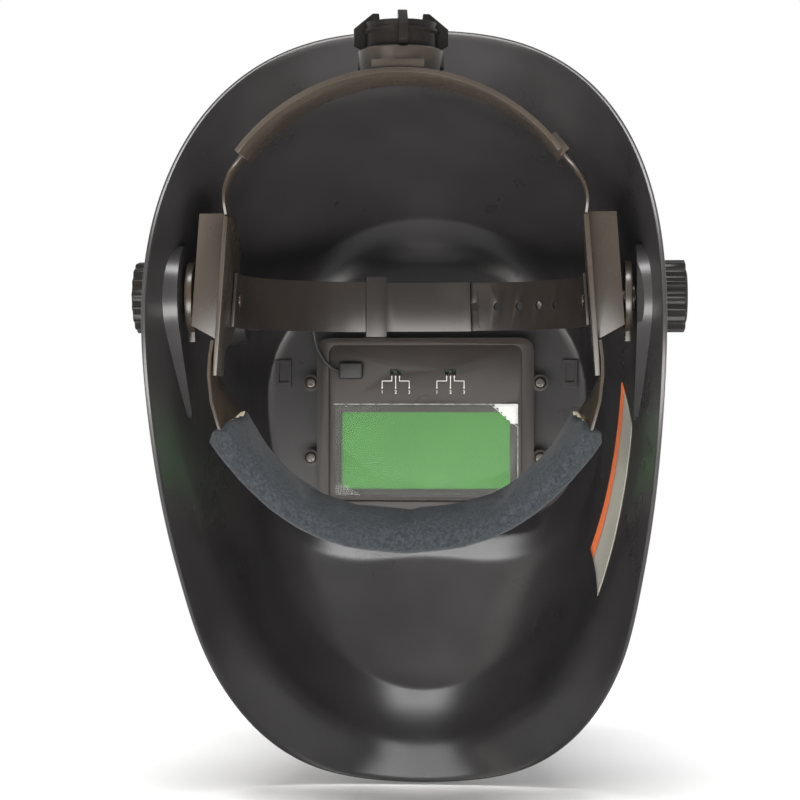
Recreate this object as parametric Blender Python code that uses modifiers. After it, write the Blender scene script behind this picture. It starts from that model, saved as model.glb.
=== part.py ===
"""Auto-darkening welding helmet with its headgear flipped up out of the shell.

Blender 4.5, metres, +Z up. X points to the wearer's right, Y out through the face
and Z up, and the origin lies midway between the two side pivots. The shell stands
as it is worn. The headgear is turned a quarter turn about the pivots, so its
forehead band hangs down and its ratchet knob points up.
"""

import math
from collections import namedtuple

import bmesh
import bpy
from mathutils import Matrix, Vector

# ---------------------------------------------------------------- driving sizes

GAP = 0.0003                    # clearance between neighbouring pieces

# Shell: closed outlines from the rim to the window, each on the middle of the wall.
# Above and below its widest height an outline is a superellipse of its own power.
Outline = namedtuple(
    "Outline",
    "half_width top middle bottom power_up power_down y_top y_side y_bottom notch crease",
)
WALL = 0.0022
FRONT_Y = 0.1535                # plane of the flat front, at mid-wall
GOGGLE_MIDDLE = -0.045          # height where the goggle-shaped front is widest
RIM = Outline(0.1200, 0.1315, -0.018, -0.2490, 2.60, 2.95, 0.020, -0.058, 0.090, 0, 0)
FLARE = Outline(0.1160, 0.1060, -0.010, -0.2325, 2.35, 2.2, 0.048, -0.024, 0.103, 0, 0.35)
SIDE = Outline(0.1120, 0.1000, -0.020, -0.2235, 2.3, 2.2, 0.074, 0.030, 0.113, 0, 0)
SHOULDER = Outline(0.1070, 0.0855, -0.030, -0.2140, 2.2, 2.1, 0.103, 0.075, 0.121, 0, 0)
CHEEK = Outline(0.0995, 0.0655, GOGGLE_MIDDLE, -0.2050, 2.1, 2.0, 0.128, 0.112, 0.127, 0, 0.55)
MOUTH = Outline(0.0970, 0.0510, GOGGLE_MIDDLE, -0.1420, 2.0, 2.9, 0.145, 0.128, 0.144, 0.006, 0.7)
COVE = Outline(0.0925, 0.0380, GOGGLE_MIDDLE, -0.1290, 2.0, 2.9, 0.1515, 0.145, 0.150, 0.0055, 0)
WAIST_INSET = 0.0036            # the rim draws in below the ears
WAIST_Z = -0.125
WAIST_HALF_LENGTH = 0.065
SWEEP_EASE = 0.25               # how gently an outline turns forward above and below the ears
NOTCH_HALF_WIDTH = 0.022        # nose notch between the two lower lobes of the goggle
SHELL_COLUMNS = 16
CATCH_WIDTH = 0.0080            # moulded catches beside the cartridge, for a second lens carrier
CATCH_HEIGHT = 0.0150
CATCH_DEPTH = 0.0035

# Auto-darkening cartridge and what holds it
CARTRIDGE_WIDTH = 0.108
CARTRIDGE_HEIGHT = 0.088
CARTRIDGE_Z = -0.0620           # centre height of cartridge, cover lens and holder
CARTRIDGE_DEPTH = 0.0090
CARTRIDGE_CORNER = 0.006
CASE_WALL = 0.0018
FRONT_OPENING_INSET = 0.006     # the shell's window is smaller than the cover lens all round
COVER_LENS_THICKNESS = 0.0012
CASE_FACE = 0.0024              # the face that looks at the wearer
HOLDER_WIDTH = CARTRIDGE_WIDTH + 0.0102
HOLDER_HEIGHT = CARTRIDGE_HEIGHT + 0.0050
HOLDER_FLANGE = 0.0032
HOLDER_SKIRT = 0.0016
HOLDER_LIP = 0.0022
HOLDER_OVERLAP = 0.0014         # how far the lip covers the cartridge
EAR_RADIUS = 0.0046
BOSS_RADIUS = 0.0040
CATCH_X = HOLDER_WIDTH / 2 + 0.0194
CATCH_Z = CARTRIDGE_Z + 0.0270
EAR_X = HOLDER_WIDTH / 2 + 0.0034
EAR_Z_UP = CARTRIDGE_Z + HOLDER_HEIGHT / 2 - 0.0245
EAR_Z_DOWN = CARTRIDGE_Z - HOLDER_HEIGHT / 2 + 0.0277
SCREW_RADIUS = 0.0013
SCREW_HEAD_RADIUS = 0.0031
SCREW_HEAD_HEIGHT = 0.0018
SCREW_LENGTH = 0.0100
VIEW_WIDTH = CARTRIDGE_WIDTH - 0.0160
VIEW_HEIGHT = 0.042
VIEW_Z = CARTRIDGE_Z - 0.0150
INNER_LENS_WIDTH = VIEW_WIDTH + 0.0068
INNER_LENS_HEIGHT = VIEW_HEIGHT + 0.0070
INNER_LENS_THICKNESS = 0.0008
FILTER_THICKNESS = 0.0040
THUMB_NOTCH_RADIUS = 0.0055
SLIDER_TRAVEL = 0.0015          # each way
SLIDER_WIDTH = 0.0022
SLIDER_Z = CARTRIDGE_Z + 0.0280
SENSITIVITY_X = -0.0162
DELAY_X = 0.0137
SLOT_HEIGHT = 0.0022
SLIDER_STAND = 0.0008
SOLAR_WIDTH = 0.0600
SOLAR_HEIGHT = 0.0140
SOLAR_Z = CARTRIDGE_Z + 0.0240
SENSOR_X = CARTRIDGE_WIDTH / 2 - 0.0140
SENSOR_RADIUS = 0.0040
SENSOR_DEPTH = 0.0006
BOARD_THICKNESS = 0.0012
FILTER_EDGE = 0.0020
BOOT_X = 0.0135 - CARTRIDGE_WIDTH / 2
BOOT_Z = CARTRIDGE_Z + 0.0285
BOOT_WIDTH = 0.0130
BOOT_HEIGHT = 0.0090
BOOT_DEPTH = 0.0045
LEAD_RADIUS = 0.0009

# Shade control in the wearer's left wall
SHADE_Y = 0.1000
SHADE_Z = -0.0040
SHADE_SEAT_X = 0.0915           # inner face of the flat that carries the control
SHADE_SEAT_RADIUS = 0.0155
SHADE_BODY_RADIUS = 0.0085
SHADE_BODY_LENGTH = 0.0060
SHADE_BUSH_RADIUS = 0.0035
SHADE_NUT_ACROSS = 0.0115
SHADE_NUT_THICKNESS = 0.0020
SHADE_KNOB_RADIUS = 0.0125
SHADE_KNOB_HEIGHT = 0.0120

# Pivots, from the headgear outwards
PIVOT_SEAT_X = 0.1080           # inner face of the flat that the shell turns on
PIVOT_SEAT_RADIUS = 0.0245
PIVOT_TIP_Y = 0.0240
PIVOT_TIP_Z = -0.0520
PIVOT_TIP_RADIUS = 0.0070
SEAT_DRAFT = 0.0030             # how much a seat widens to its mouth
STOP_DISC_RADIUS = 0.0170
STOP_DISC_THICKNESS = 0.0034
STOP_TAB_WIDTH = 0.0070
STOP_TAB_LENGTH = 0.0045
SPACER_RADIUS = 0.0070
BOLT_RADIUS = 0.0030
BOLT_HEAD_WIDTH = 0.0110
BOLT_HEAD_THICKNESS = 0.0030
WASHER_RADIUS = 0.0105
WASHER_THICKNESS = 0.0014
TENSION_KNOB_RADIUS = 0.0172
TENSION_KNOB_HEIGHT = 0.0190
TENSION_KNOB_FLUTES = 16

# Headgear: side rails and their pivot blocks
RAIL_TOP_X = 0.0841             # middle of the rail at its top
RAIL_TILT = 0.072               # how fast the two rails part towards the forehead
RAIL_THICKNESS = 0.0022
RAIL_TOP = 0.0370
RAIL_BOTTOM = -0.0380
RAIL_NEAR = -0.0300             # lower edge of the rail as worn
RAIL_FAR = 0.0210
RAIL_SHOULDER = -0.0140         # where the rail narrows to its front end
SOCKET_WIDTH = 0.0220           # width of the rail's front end, where the band joins
BLOCK_THICKNESS = 0.0131
BLOCK_TOP = 0.0390
BLOCK_BOTTOM = -0.0140
BLOCK_DEPTH = 0.0360
BLOCK_FACE = 0.0035             # outer wall of the block, which the slot goes through
BLOCK_GUSSET = 0.0063
SLIDE_FORWARD = 0.0080          # travel of the headgear on its pivots
SLIDE_BACK = 0.0040

# Headgear: forehead band and pad
BAND_THICKNESS = 0.0015
BAND_WIDTH = 0.0320
BAND_DROP = 0.0798              # from the rail's front end to the middle of the forehead
BAND_OVERLAP = 0.0165           # how far the band reaches up beside the rail
PAD_THICKNESS = 0.0105
PAD_WIDTH = 0.0440
PAD_START = 0.33                # share of the half band that stays bare beside the rail

# Headgear: crown straps
STRAP_WIDTH = 0.0260
STRAP_THICKNESS = 0.0014
STRAP_Z = -0.0010
STRAP_FOOT = 0.0020             # where the strap starts on the rail, along Y
STRAP_SHOULDER = 0.0220         # where it leaves the rail
STRAP_CROWN = 0.0920
TONGUE_END = 0.0266
TONGUE_THICKNESS = 0.0022
LOOP_X = -0.0230
LOOP_WIDTH = 0.0106
LOOP_WALL = 0.0016
STRAP_TAIL_END = -0.0330
STRAP_HOLE_PITCH = 0.0130
STRAP_HOLE_RADIUS = 0.0022
STRAP_HOLES = 7
PEG_X = 0.0031
PEG_RADIUS = 0.0018
RIVET_RADIUS = 0.0016
RIVET_HEAD_RADIUS = 0.0034
RIVET_HEAD = 0.0010

# Headgear: nape plate and ratchet
NAPE_Y = -0.0580
NAPE_WIDTH = 0.0440
NAPE_RADIUS = 0.0900
NAPE_CROWN = 0.0970             # height of the plate's middle surface at the centre
NAPE_HALF_ANGLE = 53.0
NAPE_THICKNESS = 0.0022
NAPE_LOOP_WIDTH = 0.0100
NAPE_LOOP_HEIGHT = 0.0040
NAPE_LOOP_WALL = 0.0013
TAIL_WIDTH = 0.0130
TAIL_SHIFT = 0.0110             # how far forward of the plate's middle a tail enters its loop
TAIL_THICKNESS = 0.0014
HOUSING_RADIUS = 0.0195
HOUSING_TOP = 0.1085
HOUSING_WALL = 0.0020
HOUSING_FOOT_WIDTH = 0.0234     # the block under the housing, which the tails run into
HOUSING_FOOT_DEPTH = 0.0420
HOUSING_FOOT_RISE = 0.0058
PINION_RADIUS = 0.0055
PINION_TEETH = 10
KNOB_NECK_RADIUS = 0.0165
KNOB_RIM_RADIUS = 0.0175
KNOB_TOP = 0.1205
KNOB_SHAFT_RADIUS = 0.0040
FIN_COUNT = 4
FIN_RADIUS = 0.0213
FIN_TOP = 0.1250
FIN_THICKNESS = 0.0042
FIN_TURN = 7.0

# Worked out from the sizes above
CARTRIDGE_FRONT_Y = FRONT_Y - WALL / 2 - 2 * GAP - COVER_LENS_THICKNESS
CARTRIDGE_BACK_Y = CARTRIDGE_FRONT_Y - CARTRIDGE_DEPTH

FLOOR = Outline(0.0885, 0.0240, GOGGLE_MIDDLE, -0.1215, 2.0, 3.0, FRONT_Y, FRONT_Y, FRONT_Y, 0.005, 0.5)
WINDOW = Outline(
    CARTRIDGE_WIDTH / 2 - FRONT_OPENING_INSET,
    CARTRIDGE_Z + CARTRIDGE_HEIGHT / 2 - FRONT_OPENING_INSET,
    CARTRIDGE_Z,
    CARTRIDGE_Z - CARTRIDGE_HEIGHT / 2 + FRONT_OPENING_INSET,
    9, 9, FRONT_Y, FRONT_Y, FRONT_Y, 0, 0,
)
OUTLINES = (RIM, FLARE, SIDE, SHOULDER, CHEEK, MOUTH, COVE, FLOOR, WINDOW)

# ---------------------------------------------------------------- scene and helpers

for old in list(bpy.data.objects):
    bpy.data.objects.remove(old, do_unlink=True)


def new_collection(name):
    collection = bpy.data.collections.new(name)
    bpy.context.scene.collection.children.link(collection)
    return collection


PARTS = new_collection("welding_helmet")
CUTTERS = new_collection("cutters")

# Finishes: colour, roughness, metallic, transmission
NYLON = ((0.012, 0.012, 0.013), 0.45, 0.0, 0.0)
HEADGEAR = ((0.045, 0.038, 0.034), 0.40, 0.0, 0.0)
KNOB_PLASTIC = ((0.030, 0.027, 0.026), 0.38, 0.0, 0.0)
CASE_PLASTIC = ((0.035, 0.030, 0.028), 0.50, 0.0, 0.0)
CLEAR = ((0.95, 0.97, 0.97), 0.03, 0.0, 1.0)
GREEN_GLASS = ((0.16, 0.46, 0.11), 0.05, 0.0, 0.4)
SOLAR = ((0.015, 0.018, 0.060), 0.20, 0.0, 0.0)
SENSOR = ((0.060, 0.010, 0.015), 0.10, 0.0, 0.0)
BOARD = ((0.020, 0.120, 0.050), 0.50, 0.0, 0.0)
STEEL = ((0.35, 0.34, 0.33), 0.30, 1.0, 0.0)
BRASS = ((0.55, 0.42, 0.18), 0.30, 1.0, 0.0)
RUBBER = ((0.015, 0.015, 0.015), 0.80, 0.0, 0.0)
FLEECE = ((0.055, 0.068, 0.085), 0.95, 0.0, 0.0)

# Planes for flat outlines: (x, y) of the outline go to (X, Z) or to (Y, Z)
FACING_BACK = Matrix.Rotation(math.radians(90), 4, "X")
FACING_RIGHT = Matrix(((0, 0, 1, 0), (1, 0, 0, 0), (0, 1, 0, 0), (0, 0, 0, 1)))


def anchor(name, location, parent=None):
    """An empty on a joint's axis, which carries the pieces that move with it."""
    empty = bpy.data.objects.new(name, None)
    empty.empty_display_size = 0.02
    empty.location = location
    ride(empty, parent)
    PARTS.objects.link(empty)
    return empty


def ride(thing, parent):
    if parent is not None:
        thing.parent = parent
        thing.matrix_parent_inverse = parent.matrix_basis.inverted()


def piece(name, mesh, finish, parent=None, matrix=None):
    """A named sub-part with a material of its own."""
    colour, roughness, metallic, transmission = finish
    surface = bpy.data.materials.new(name)
    surface.use_nodes = True
    shader = surface.node_tree.nodes["Principled BSDF"]
    shader.inputs["Base Color"].default_value = (*colour, 1)
    shader.inputs["Roughness"].default_value = roughness
    shader.inputs["Metallic"].default_value = metallic
    shader.inputs["Transmission Weight"].default_value = transmission
    mesh.name = name
    mesh.materials.append(surface)
    thing = bpy.data.objects.new(name, mesh)
    thing.matrix_basis = matrix or Matrix()
    ride(thing, parent)
    PARTS.objects.link(thing)
    return thing


def tool(name, mesh, matrix=None):
    """A shape that is only cut from or joined to a piece."""
    thing = bpy.data.objects.new(name, mesh)
    thing.matrix_basis = matrix or Matrix()
    thing.display_type = "WIRE"
    thing.hide_render = True
    CUTTERS.objects.link(thing)
    return thing


def combine(thing, other, operation):
    if other.parent is None:
        ride(other, thing)
    step = thing.modifiers.new(other.name, "BOOLEAN")
    step.operation = operation
    step.solver = "EXACT"
    step.object = other


def cut(thing, other):
    combine(thing, other, "DIFFERENCE")


def join(thing, other):
    combine(thing, other, "UNION")


def bevel(thing, width, segments=2, angle=35):
    step = thing.modifiers.new("Bevel", "BEVEL")
    step.width = width
    step.segments = segments
    step.limit_method = "ANGLE"
    step.angle_limit = math.radians(angle)


def thicken(thing, thickness, offset=0):
    step = thing.modifiers.new("Solidify", "SOLIDIFY")
    step.thickness = thickness
    step.offset = offset
    step.use_even_offset = True


def screw(thing, steps=32):
    step = thing.modifiers.new("Screw", "SCREW")
    step.steps = steps
    step.render_steps = steps
    step.use_merge_vertices = True
    step.merge_threshold = 0.00001


def mesh_of(shape):
    mesh = bpy.data.meshes.new("shape")
    shape.to_mesh(mesh)
    shape.free()
    return mesh


def box(low, high):
    shape = bmesh.new()
    bmesh.ops.create_cube(shape, size=1)
    low = Vector(low)
    high = Vector(high)
    for corner in shape.verts:
        share = corner.co + Vector((0.5, 0.5, 0.5))
        corner.co = [a + (b - a) * s for a, b, s in zip(low, high, share)]
    return mesh_of(shape)


def cylinder(radius, start, end, matrix=None, segments=24):
    """A cylinder along local Z, from start to end."""
    shape = bmesh.new()
    bmesh.ops.create_cone(
        shape, cap_ends=True, segments=segments, radius1=radius, radius2=radius, depth=end - start,
        matrix=(matrix or Matrix()) @ Matrix.Translation((0, 0, (start + end) / 2)),
    )
    return mesh_of(shape)


def profile(points, closed=False):
    """An open or closed line of (radius, height) points, to be turned about local Z."""
    shape = bmesh.new()
    corners = [shape.verts.new((radius, 0, height)) for radius, height in points]
    for first, second in zip(corners, corners[1:]):
        shape.edges.new((first, second))
    if closed:
        shape.edges.new((corners[-1], corners[0]))
    return mesh_of(shape)


def flat(outlines, thickness):
    """A plate cut to one outline, less any further outlines inside it."""
    curve = bpy.data.curves.new("outline", "CURVE")
    curve.dimensions = "2D"
    curve.fill_mode = "BOTH"
    curve.extrude = thickness / 2
    for points in outlines:
        spline = curve.splines.new("POLY")
        spline.points.add(len(points) - 1)
        spline.use_cyclic_u = True
        for corner, (x, y) in zip(spline.points, points):
            corner.co = (x, y, 0, 1)
    return curve_mesh(curve)


def curve_mesh(curve):
    holder = bpy.data.objects.new("curve", curve)
    bpy.context.scene.collection.objects.link(holder)
    graph = bpy.context.evaluated_depsgraph_get()
    mesh = bpy.data.meshes.new_from_object(holder.evaluated_get(graph))
    bpy.data.objects.remove(holder)
    shape = bmesh.new()
    shape.from_mesh(mesh)
    bmesh.ops.remove_doubles(shape, verts=shape.verts, dist=0.00001)
    bmesh.ops.recalc_face_normals(shape, faces=shape.faces)
    bpy.data.meshes.remove(mesh)
    return mesh_of(shape)


def circle(radius, centre=(0, 0), count=32):
    turns = [2 * math.pi * step / count for step in range(count)]
    return [(centre[0] + radius * math.cos(t), centre[1] + radius * math.sin(t)) for t in turns]


def rounded_rectangle(width, height, corner, centre=(0, 0), steps=3):
    points = []
    for quarter, (across, up) in enumerate(((1, 1), (-1, 1), (-1, -1), (1, -1))):
        middle_x = centre[0] + across * (width / 2 - corner)
        middle_y = centre[1] + up * (height / 2 - corner)
        for step in range(steps + 1):
            turn = math.pi / 2 * (quarter + step / steps)
            points.append((middle_x + corner * math.cos(turn), middle_y + corner * math.sin(turn)))
    return points


def wrap(circles, count=36):
    """The outline of a belt stretched round circles given as (x, y, radius)."""
    points = []
    for step in range(count):
        turn = 2 * math.pi * step / count
        across = math.cos(turn)
        up = math.sin(turn)
        x, y, radius = max(circles, key=lambda c: c[0] * across + c[1] * up + c[2])
        points.append((x + radius * across, y + radius * up))
    return points


def loft(loops, matrix=None):
    """A closed solid through loops that have the same number of points."""
    shape = bmesh.new()
    rings = [[shape.verts.new(point) for point in loop] for loop in loops]
    for first, second in zip(rings, rings[1:]):
        for here in range(len(first)):
            after = (here + 1) % len(first)
            shape.faces.new((first[here], first[after], second[after], second[here]))
    shape.faces.new(reversed(rings[0]))
    shape.faces.new(rings[-1])
    bmesh.ops.recalc_face_normals(shape, faces=shape.faces)
    if matrix is not None:
        shape.transform(matrix)
    return mesh_of(shape)


def smooth(points, count):
    """A curve through the points, read at evenly spaced places along them."""
    points = [Vector(point) for point in points]
    points = [2 * points[0] - points[1], *points, 2 * points[-1] - points[-2]]
    spans = len(points) - 3
    read = []
    for step in range(count + 1):
        place = min(step / count * spans, spans - 1e-9)
        start = int(place)
        t = place - start
        a, b, c, d = points[start:start + 4]
        read.append(
            0.5 * (2 * b + (c - a) * t + (2 * a - 5 * b + 4 * c - d) * t * t
                   + (3 * b - a - 3 * c + d) * t * t * t)
        )
    return read


def ribbon(near, far):
    """The open surface between two edges of a strap, to be thickened."""
    shape = bmesh.new()
    first = [shape.verts.new(point) for point in near]
    second = [shape.verts.new(point) for point in far]
    for here in range(len(first) - 1):
        shape.faces.new((first[here], first[here + 1], second[here + 1], second[here]))
    return mesh_of(shape)


def sides():
    return (("right", 1), ("left", -1))


def along_x(side):
    """Turns local Z to point outwards, to the wearer's right or left."""
    return Matrix.Rotation(math.radians(90 * side), 4, "Y")

# ---------------------------------------------------------------- shell


def outline_points(outline):
    """The right half of an outline, from its top to its bottom."""
    points = []
    for column in range(SHELL_COLUMNS + 1):
        turn = math.pi * (0.5 - column / SHELL_COLUMNS)
        across = max(math.cos(turn), 0)
        if column in (0, SHELL_COLUMNS):
            across = 0
        up = math.sin(turn)
        if up >= 0:
            power, y_end, reach = outline.power_up, outline.y_top, outline.top - outline.middle
        else:
            power, y_end, reach = outline.power_down, outline.y_bottom, outline.middle - outline.bottom
        rise = math.copysign(abs(up) ** (2 / power), up)
        x = outline.half_width * across ** (2 / power)
        sweep = (math.hypot(rise, SWEEP_EASE) - SWEEP_EASE) / (math.hypot(1, SWEEP_EASE) - SWEEP_EASE)
        y = outline.y_side + (y_end - outline.y_side) * sweep
        z = outline.middle + reach * rise
        if up < 0:
            z += outline.notch * math.exp(-((x / NOTCH_HALF_WIDTH) ** 2))
        if outline is RIM:
            below_ear = min(abs(z - WAIST_Z) / WAIST_HALF_LENGTH, 1)
            x -= WAIST_INSET * math.cos(math.pi / 2 * below_ear) ** 2
        points.append((x, y, z))
    return points


def shell_surface():
    """The middle surface of the shell's wall, from the rim to the window."""
    shape = bmesh.new()
    creases = shape.edges.layers.float.new("crease_edge")
    rings = [[shape.verts.new(point) for point in outline_points(outline)] for outline in OUTLINES]
    for first, second in zip(rings, rings[1:]):
        for here in range(SHELL_COLUMNS):
            shape.faces.new((first[here], second[here], second[here + 1], first[here + 1]))
    for ring, outline in zip(rings, OUTLINES):
        for first, second in zip(ring, ring[1:]):
            shape.edges.get((first, second))[creases] = outline.crease
    half = tool("shell_surface", mesh_of(shape))
    mirror = half.modifiers.new("Mirror", "MIRROR")
    mirror.merge_threshold = 0.00001
    soften = half.modifiers.new("Subdivision", "SUBSURF")
    soften.levels = 1
    soften.render_levels = 1
    graph = bpy.context.evaluated_depsgraph_get()
    mesh = bpy.data.meshes.new_from_object(half.evaluated_get(graph))
    bpy.data.objects.remove(half)
    return mesh


def filled(surface):
    """The space inside the shell's middle surface, closed over the rim and the window."""
    shape = bmesh.new()
    shape.from_mesh(surface)
    open_edges = [edge for edge in shape.edges if edge.is_boundary]
    bmesh.ops.holes_fill(shape, edges=open_edges, sides=0)
    bmesh.ops.recalc_face_normals(shape, faces=shape.faces)
    return mesh_of(shape)


def seat_tool(name, circles, side, inner_x, outer_x, inset, draft):
    """A tapered plug across the side wall, from an inner to an outer X."""
    small = [(y, z, radius - inset) for y, z, radius in circles]
    large = [(y, z, radius - inset + draft) for y, z, radius in circles]
    loops = [
        [(side * inner_x, y, z) for y, z in wrap(small)],
        [(side * outer_x, y, z) for y, z in wrap(large)],
    ]
    return tool(name, loft(loops))


def add_seat(shell, hull, name, circles, side, seat_x, depth=0.020, draft=SEAT_DRAFT):
    """A flat pushed in from the side wall, dished on the outside."""
    plug = seat_tool(name + "_plug", circles, side, seat_x, seat_x + depth, 0, draft)
    combine(plug, hull, "INTERSECT")
    join(shell, plug)
    dish = seat_tool(
        name + "_dish", circles, side, seat_x + WALL, seat_x + WALL + depth, WALL, draft
    )
    cut(shell, dish)


def build_shell():
    surface = shell_surface()
    hull = tool("shell_inside", filled(surface))
    shell = piece("shell", surface, NYLON)
    hull.parent = shell
    thicken(shell, WALL)
    pivot_seat = ((0, 0, PIVOT_SEAT_RADIUS), (PIVOT_TIP_Y, PIVOT_TIP_Z, PIVOT_TIP_RADIUS))
    for word, side in sides():
        add_seat(shell, hull, "pivot_seat_" + word, pivot_seat, side, PIVOT_SEAT_X)
    shade_seat = ((SHADE_Y, SHADE_Z, SHADE_SEAT_RADIUS),)
    add_seat(shell, hull, "shade_seat", shade_seat, -1, SHADE_SEAT_X)
    for word, side in sides():
        reach = side * (PIVOT_SEAT_X + WALL)
        hole = cylinder(BOLT_RADIUS + GAP, 0, 2 * WALL, along_x(side))
        place = Matrix.Translation((reach - side * 1.5 * WALL, 0, 0))
        cut(shell, tool("bolt_hole_" + word, hole, place))
    bush_hole = cylinder(SHADE_BUSH_RADIUS + GAP, 0, 2 * WALL, along_x(-1))
    place = Matrix.Translation((0.5 * WALL - SHADE_SEAT_X, SHADE_Y, SHADE_Z))
    cut(shell, tool("shade_hole", bush_hole, place))
    inner_wall_y = FRONT_Y - WALL / 2
    for word, side in sides():
        name = "catch_" + word
        low_y = inner_wall_y - CATCH_DEPTH
        join(shell, centred_box(
            name, side * CATCH_X, CATCH_Z, CATCH_WIDTH, CATCH_HEIGHT, low_y, FRONT_Y
        ))
    boss_top = CARTRIDGE_BACK_Y - GAP - HOLDER_LIP + HOLDER_FLANGE + GAP
    for name, x, z in ear_places():
        boss = cylinder(BOSS_RADIUS, -inner_wall_y - WALL / 3, -boss_top, FACING_BACK, 16)
        join(shell, tool("boss_" + name, boss, Matrix.Translation((x, 0, z))))
        bore = cylinder(SCREW_RADIUS + GAP, -inner_wall_y, -boss_top + WALL, FACING_BACK, 12)
        cut(shell, tool("boss_bore_" + name, bore, Matrix.Translation((x, 0, z))))
    return shell


def ear_places():
    return (
        ("right_upper", EAR_X, EAR_Z_UP),
        ("left_upper", -EAR_X, EAR_Z_UP),
        ("right_lower", EAR_X, EAR_Z_DOWN),
        ("left_lower", -EAR_X, EAR_Z_DOWN),
    )


# ---------------------------------------------------------------- auto-darkening cartridge


def centred_box(name, x, z, width, height, y_low, y_high):
    return tool(
        name, box((x - width / 2, y_low, z - height / 2), (x + width / 2, y_high, z + height / 2))
    )


def upright_plate(outlines, y_low, y_high):
    """Flat outlines in X and Z, filling the depth between two Y planes."""
    mesh = flat(outlines, y_high - y_low)
    mesh.transform(Matrix.Translation((0, (y_low + y_high) / 2, 0)) @ FACING_BACK)
    return mesh


def cartridge_outline(spare=0):
    """The cartridge's rounded outline, larger or smaller all round by the spare size."""
    return rounded_rectangle(
        CARTRIDGE_WIDTH + 2 * spare, CARTRIDGE_HEIGHT + 2 * spare, CARTRIDGE_CORNER + spare,
        (0, CARTRIDGE_Z),
    )


def build_cover_lens():
    y_high = FRONT_Y - WALL / 2 - GAP
    mesh = upright_plate([cartridge_outline()], y_high - COVER_LENS_THICKNESS, y_high)
    piece("outer_cover_lens", mesh, CLEAR)


def build_holder():
    """The frame that clamps the cartridge: lip, flange with four ears, and skirt."""
    lip_y = CARTRIDGE_BACK_Y - GAP - HOLDER_LIP
    flange_y = lip_y + HOLDER_FLANGE
    outer = rounded_rectangle(HOLDER_WIDTH, HOLDER_HEIGHT, 0.007, (0, CARTRIDGE_Z))
    holder = piece("adf_holder_frame", upright_plate([outer], lip_y, flange_y), CASE_PLASTIC)
    skirt_outline = cartridge_outline(GAP + HOLDER_SKIRT)
    skirt_end = FRONT_Y - WALL / 2 - GAP
    join(holder, tool("holder_skirt", upright_plate([skirt_outline], lip_y + HOLDER_LIP / 2, skirt_end)))
    for name, x, z in ear_places():
        ear = upright_plate([circle(EAR_RADIUS, (x, z), 18)], lip_y + GAP, flange_y)
        join(holder, tool("ear_" + name, ear))
    pocket = upright_plate([cartridge_outline(GAP)], lip_y + HOLDER_LIP, skirt_end + WALL)
    cut(holder, tool("holder_pocket", pocket))
    mouth = upright_plate([cartridge_outline(-HOLDER_OVERLAP)], lip_y - WALL, lip_y + 2 * HOLDER_LIP)
    cut(holder, tool("holder_mouth", mouth))
    for name, x, z in ear_places():
        bore = upright_plate([circle(SCREW_RADIUS + GAP, (x, z), 12)], lip_y - WALL, flange_y + WALL)
        cut(holder, tool("ear_bore_" + name, bore))


def build_holder_screws():
    head_y = CARTRIDGE_BACK_Y - HOLDER_LIP       # underside of the head, clear of the ear
    for number, (name, x, z) in enumerate(ear_places(), start=1):
        line = profile([
            (0, SCREW_HEAD_HEIGHT),
            (SCREW_HEAD_RADIUS * 0.7, SCREW_HEAD_HEIGHT * 0.9),
            (SCREW_HEAD_RADIUS, SCREW_HEAD_HEIGHT * 0.4),
            (SCREW_HEAD_RADIUS, 0),
            (SCREW_RADIUS, 0),
            (SCREW_RADIUS, -SCREW_LENGTH + SCREW_RADIUS),
            (0, -SCREW_LENGTH),
        ])
        place = Matrix.Translation((x, head_y - GAP, z)) @ FACING_BACK
        screw(piece("holder_screw_%d" % number, line, STEEL, matrix=place), 16)


def case_split():
    """Where the two halves of the cartridge's case meet."""
    return (CARTRIDGE_BACK_Y + CARTRIDGE_FRONT_Y) / 2


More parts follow.
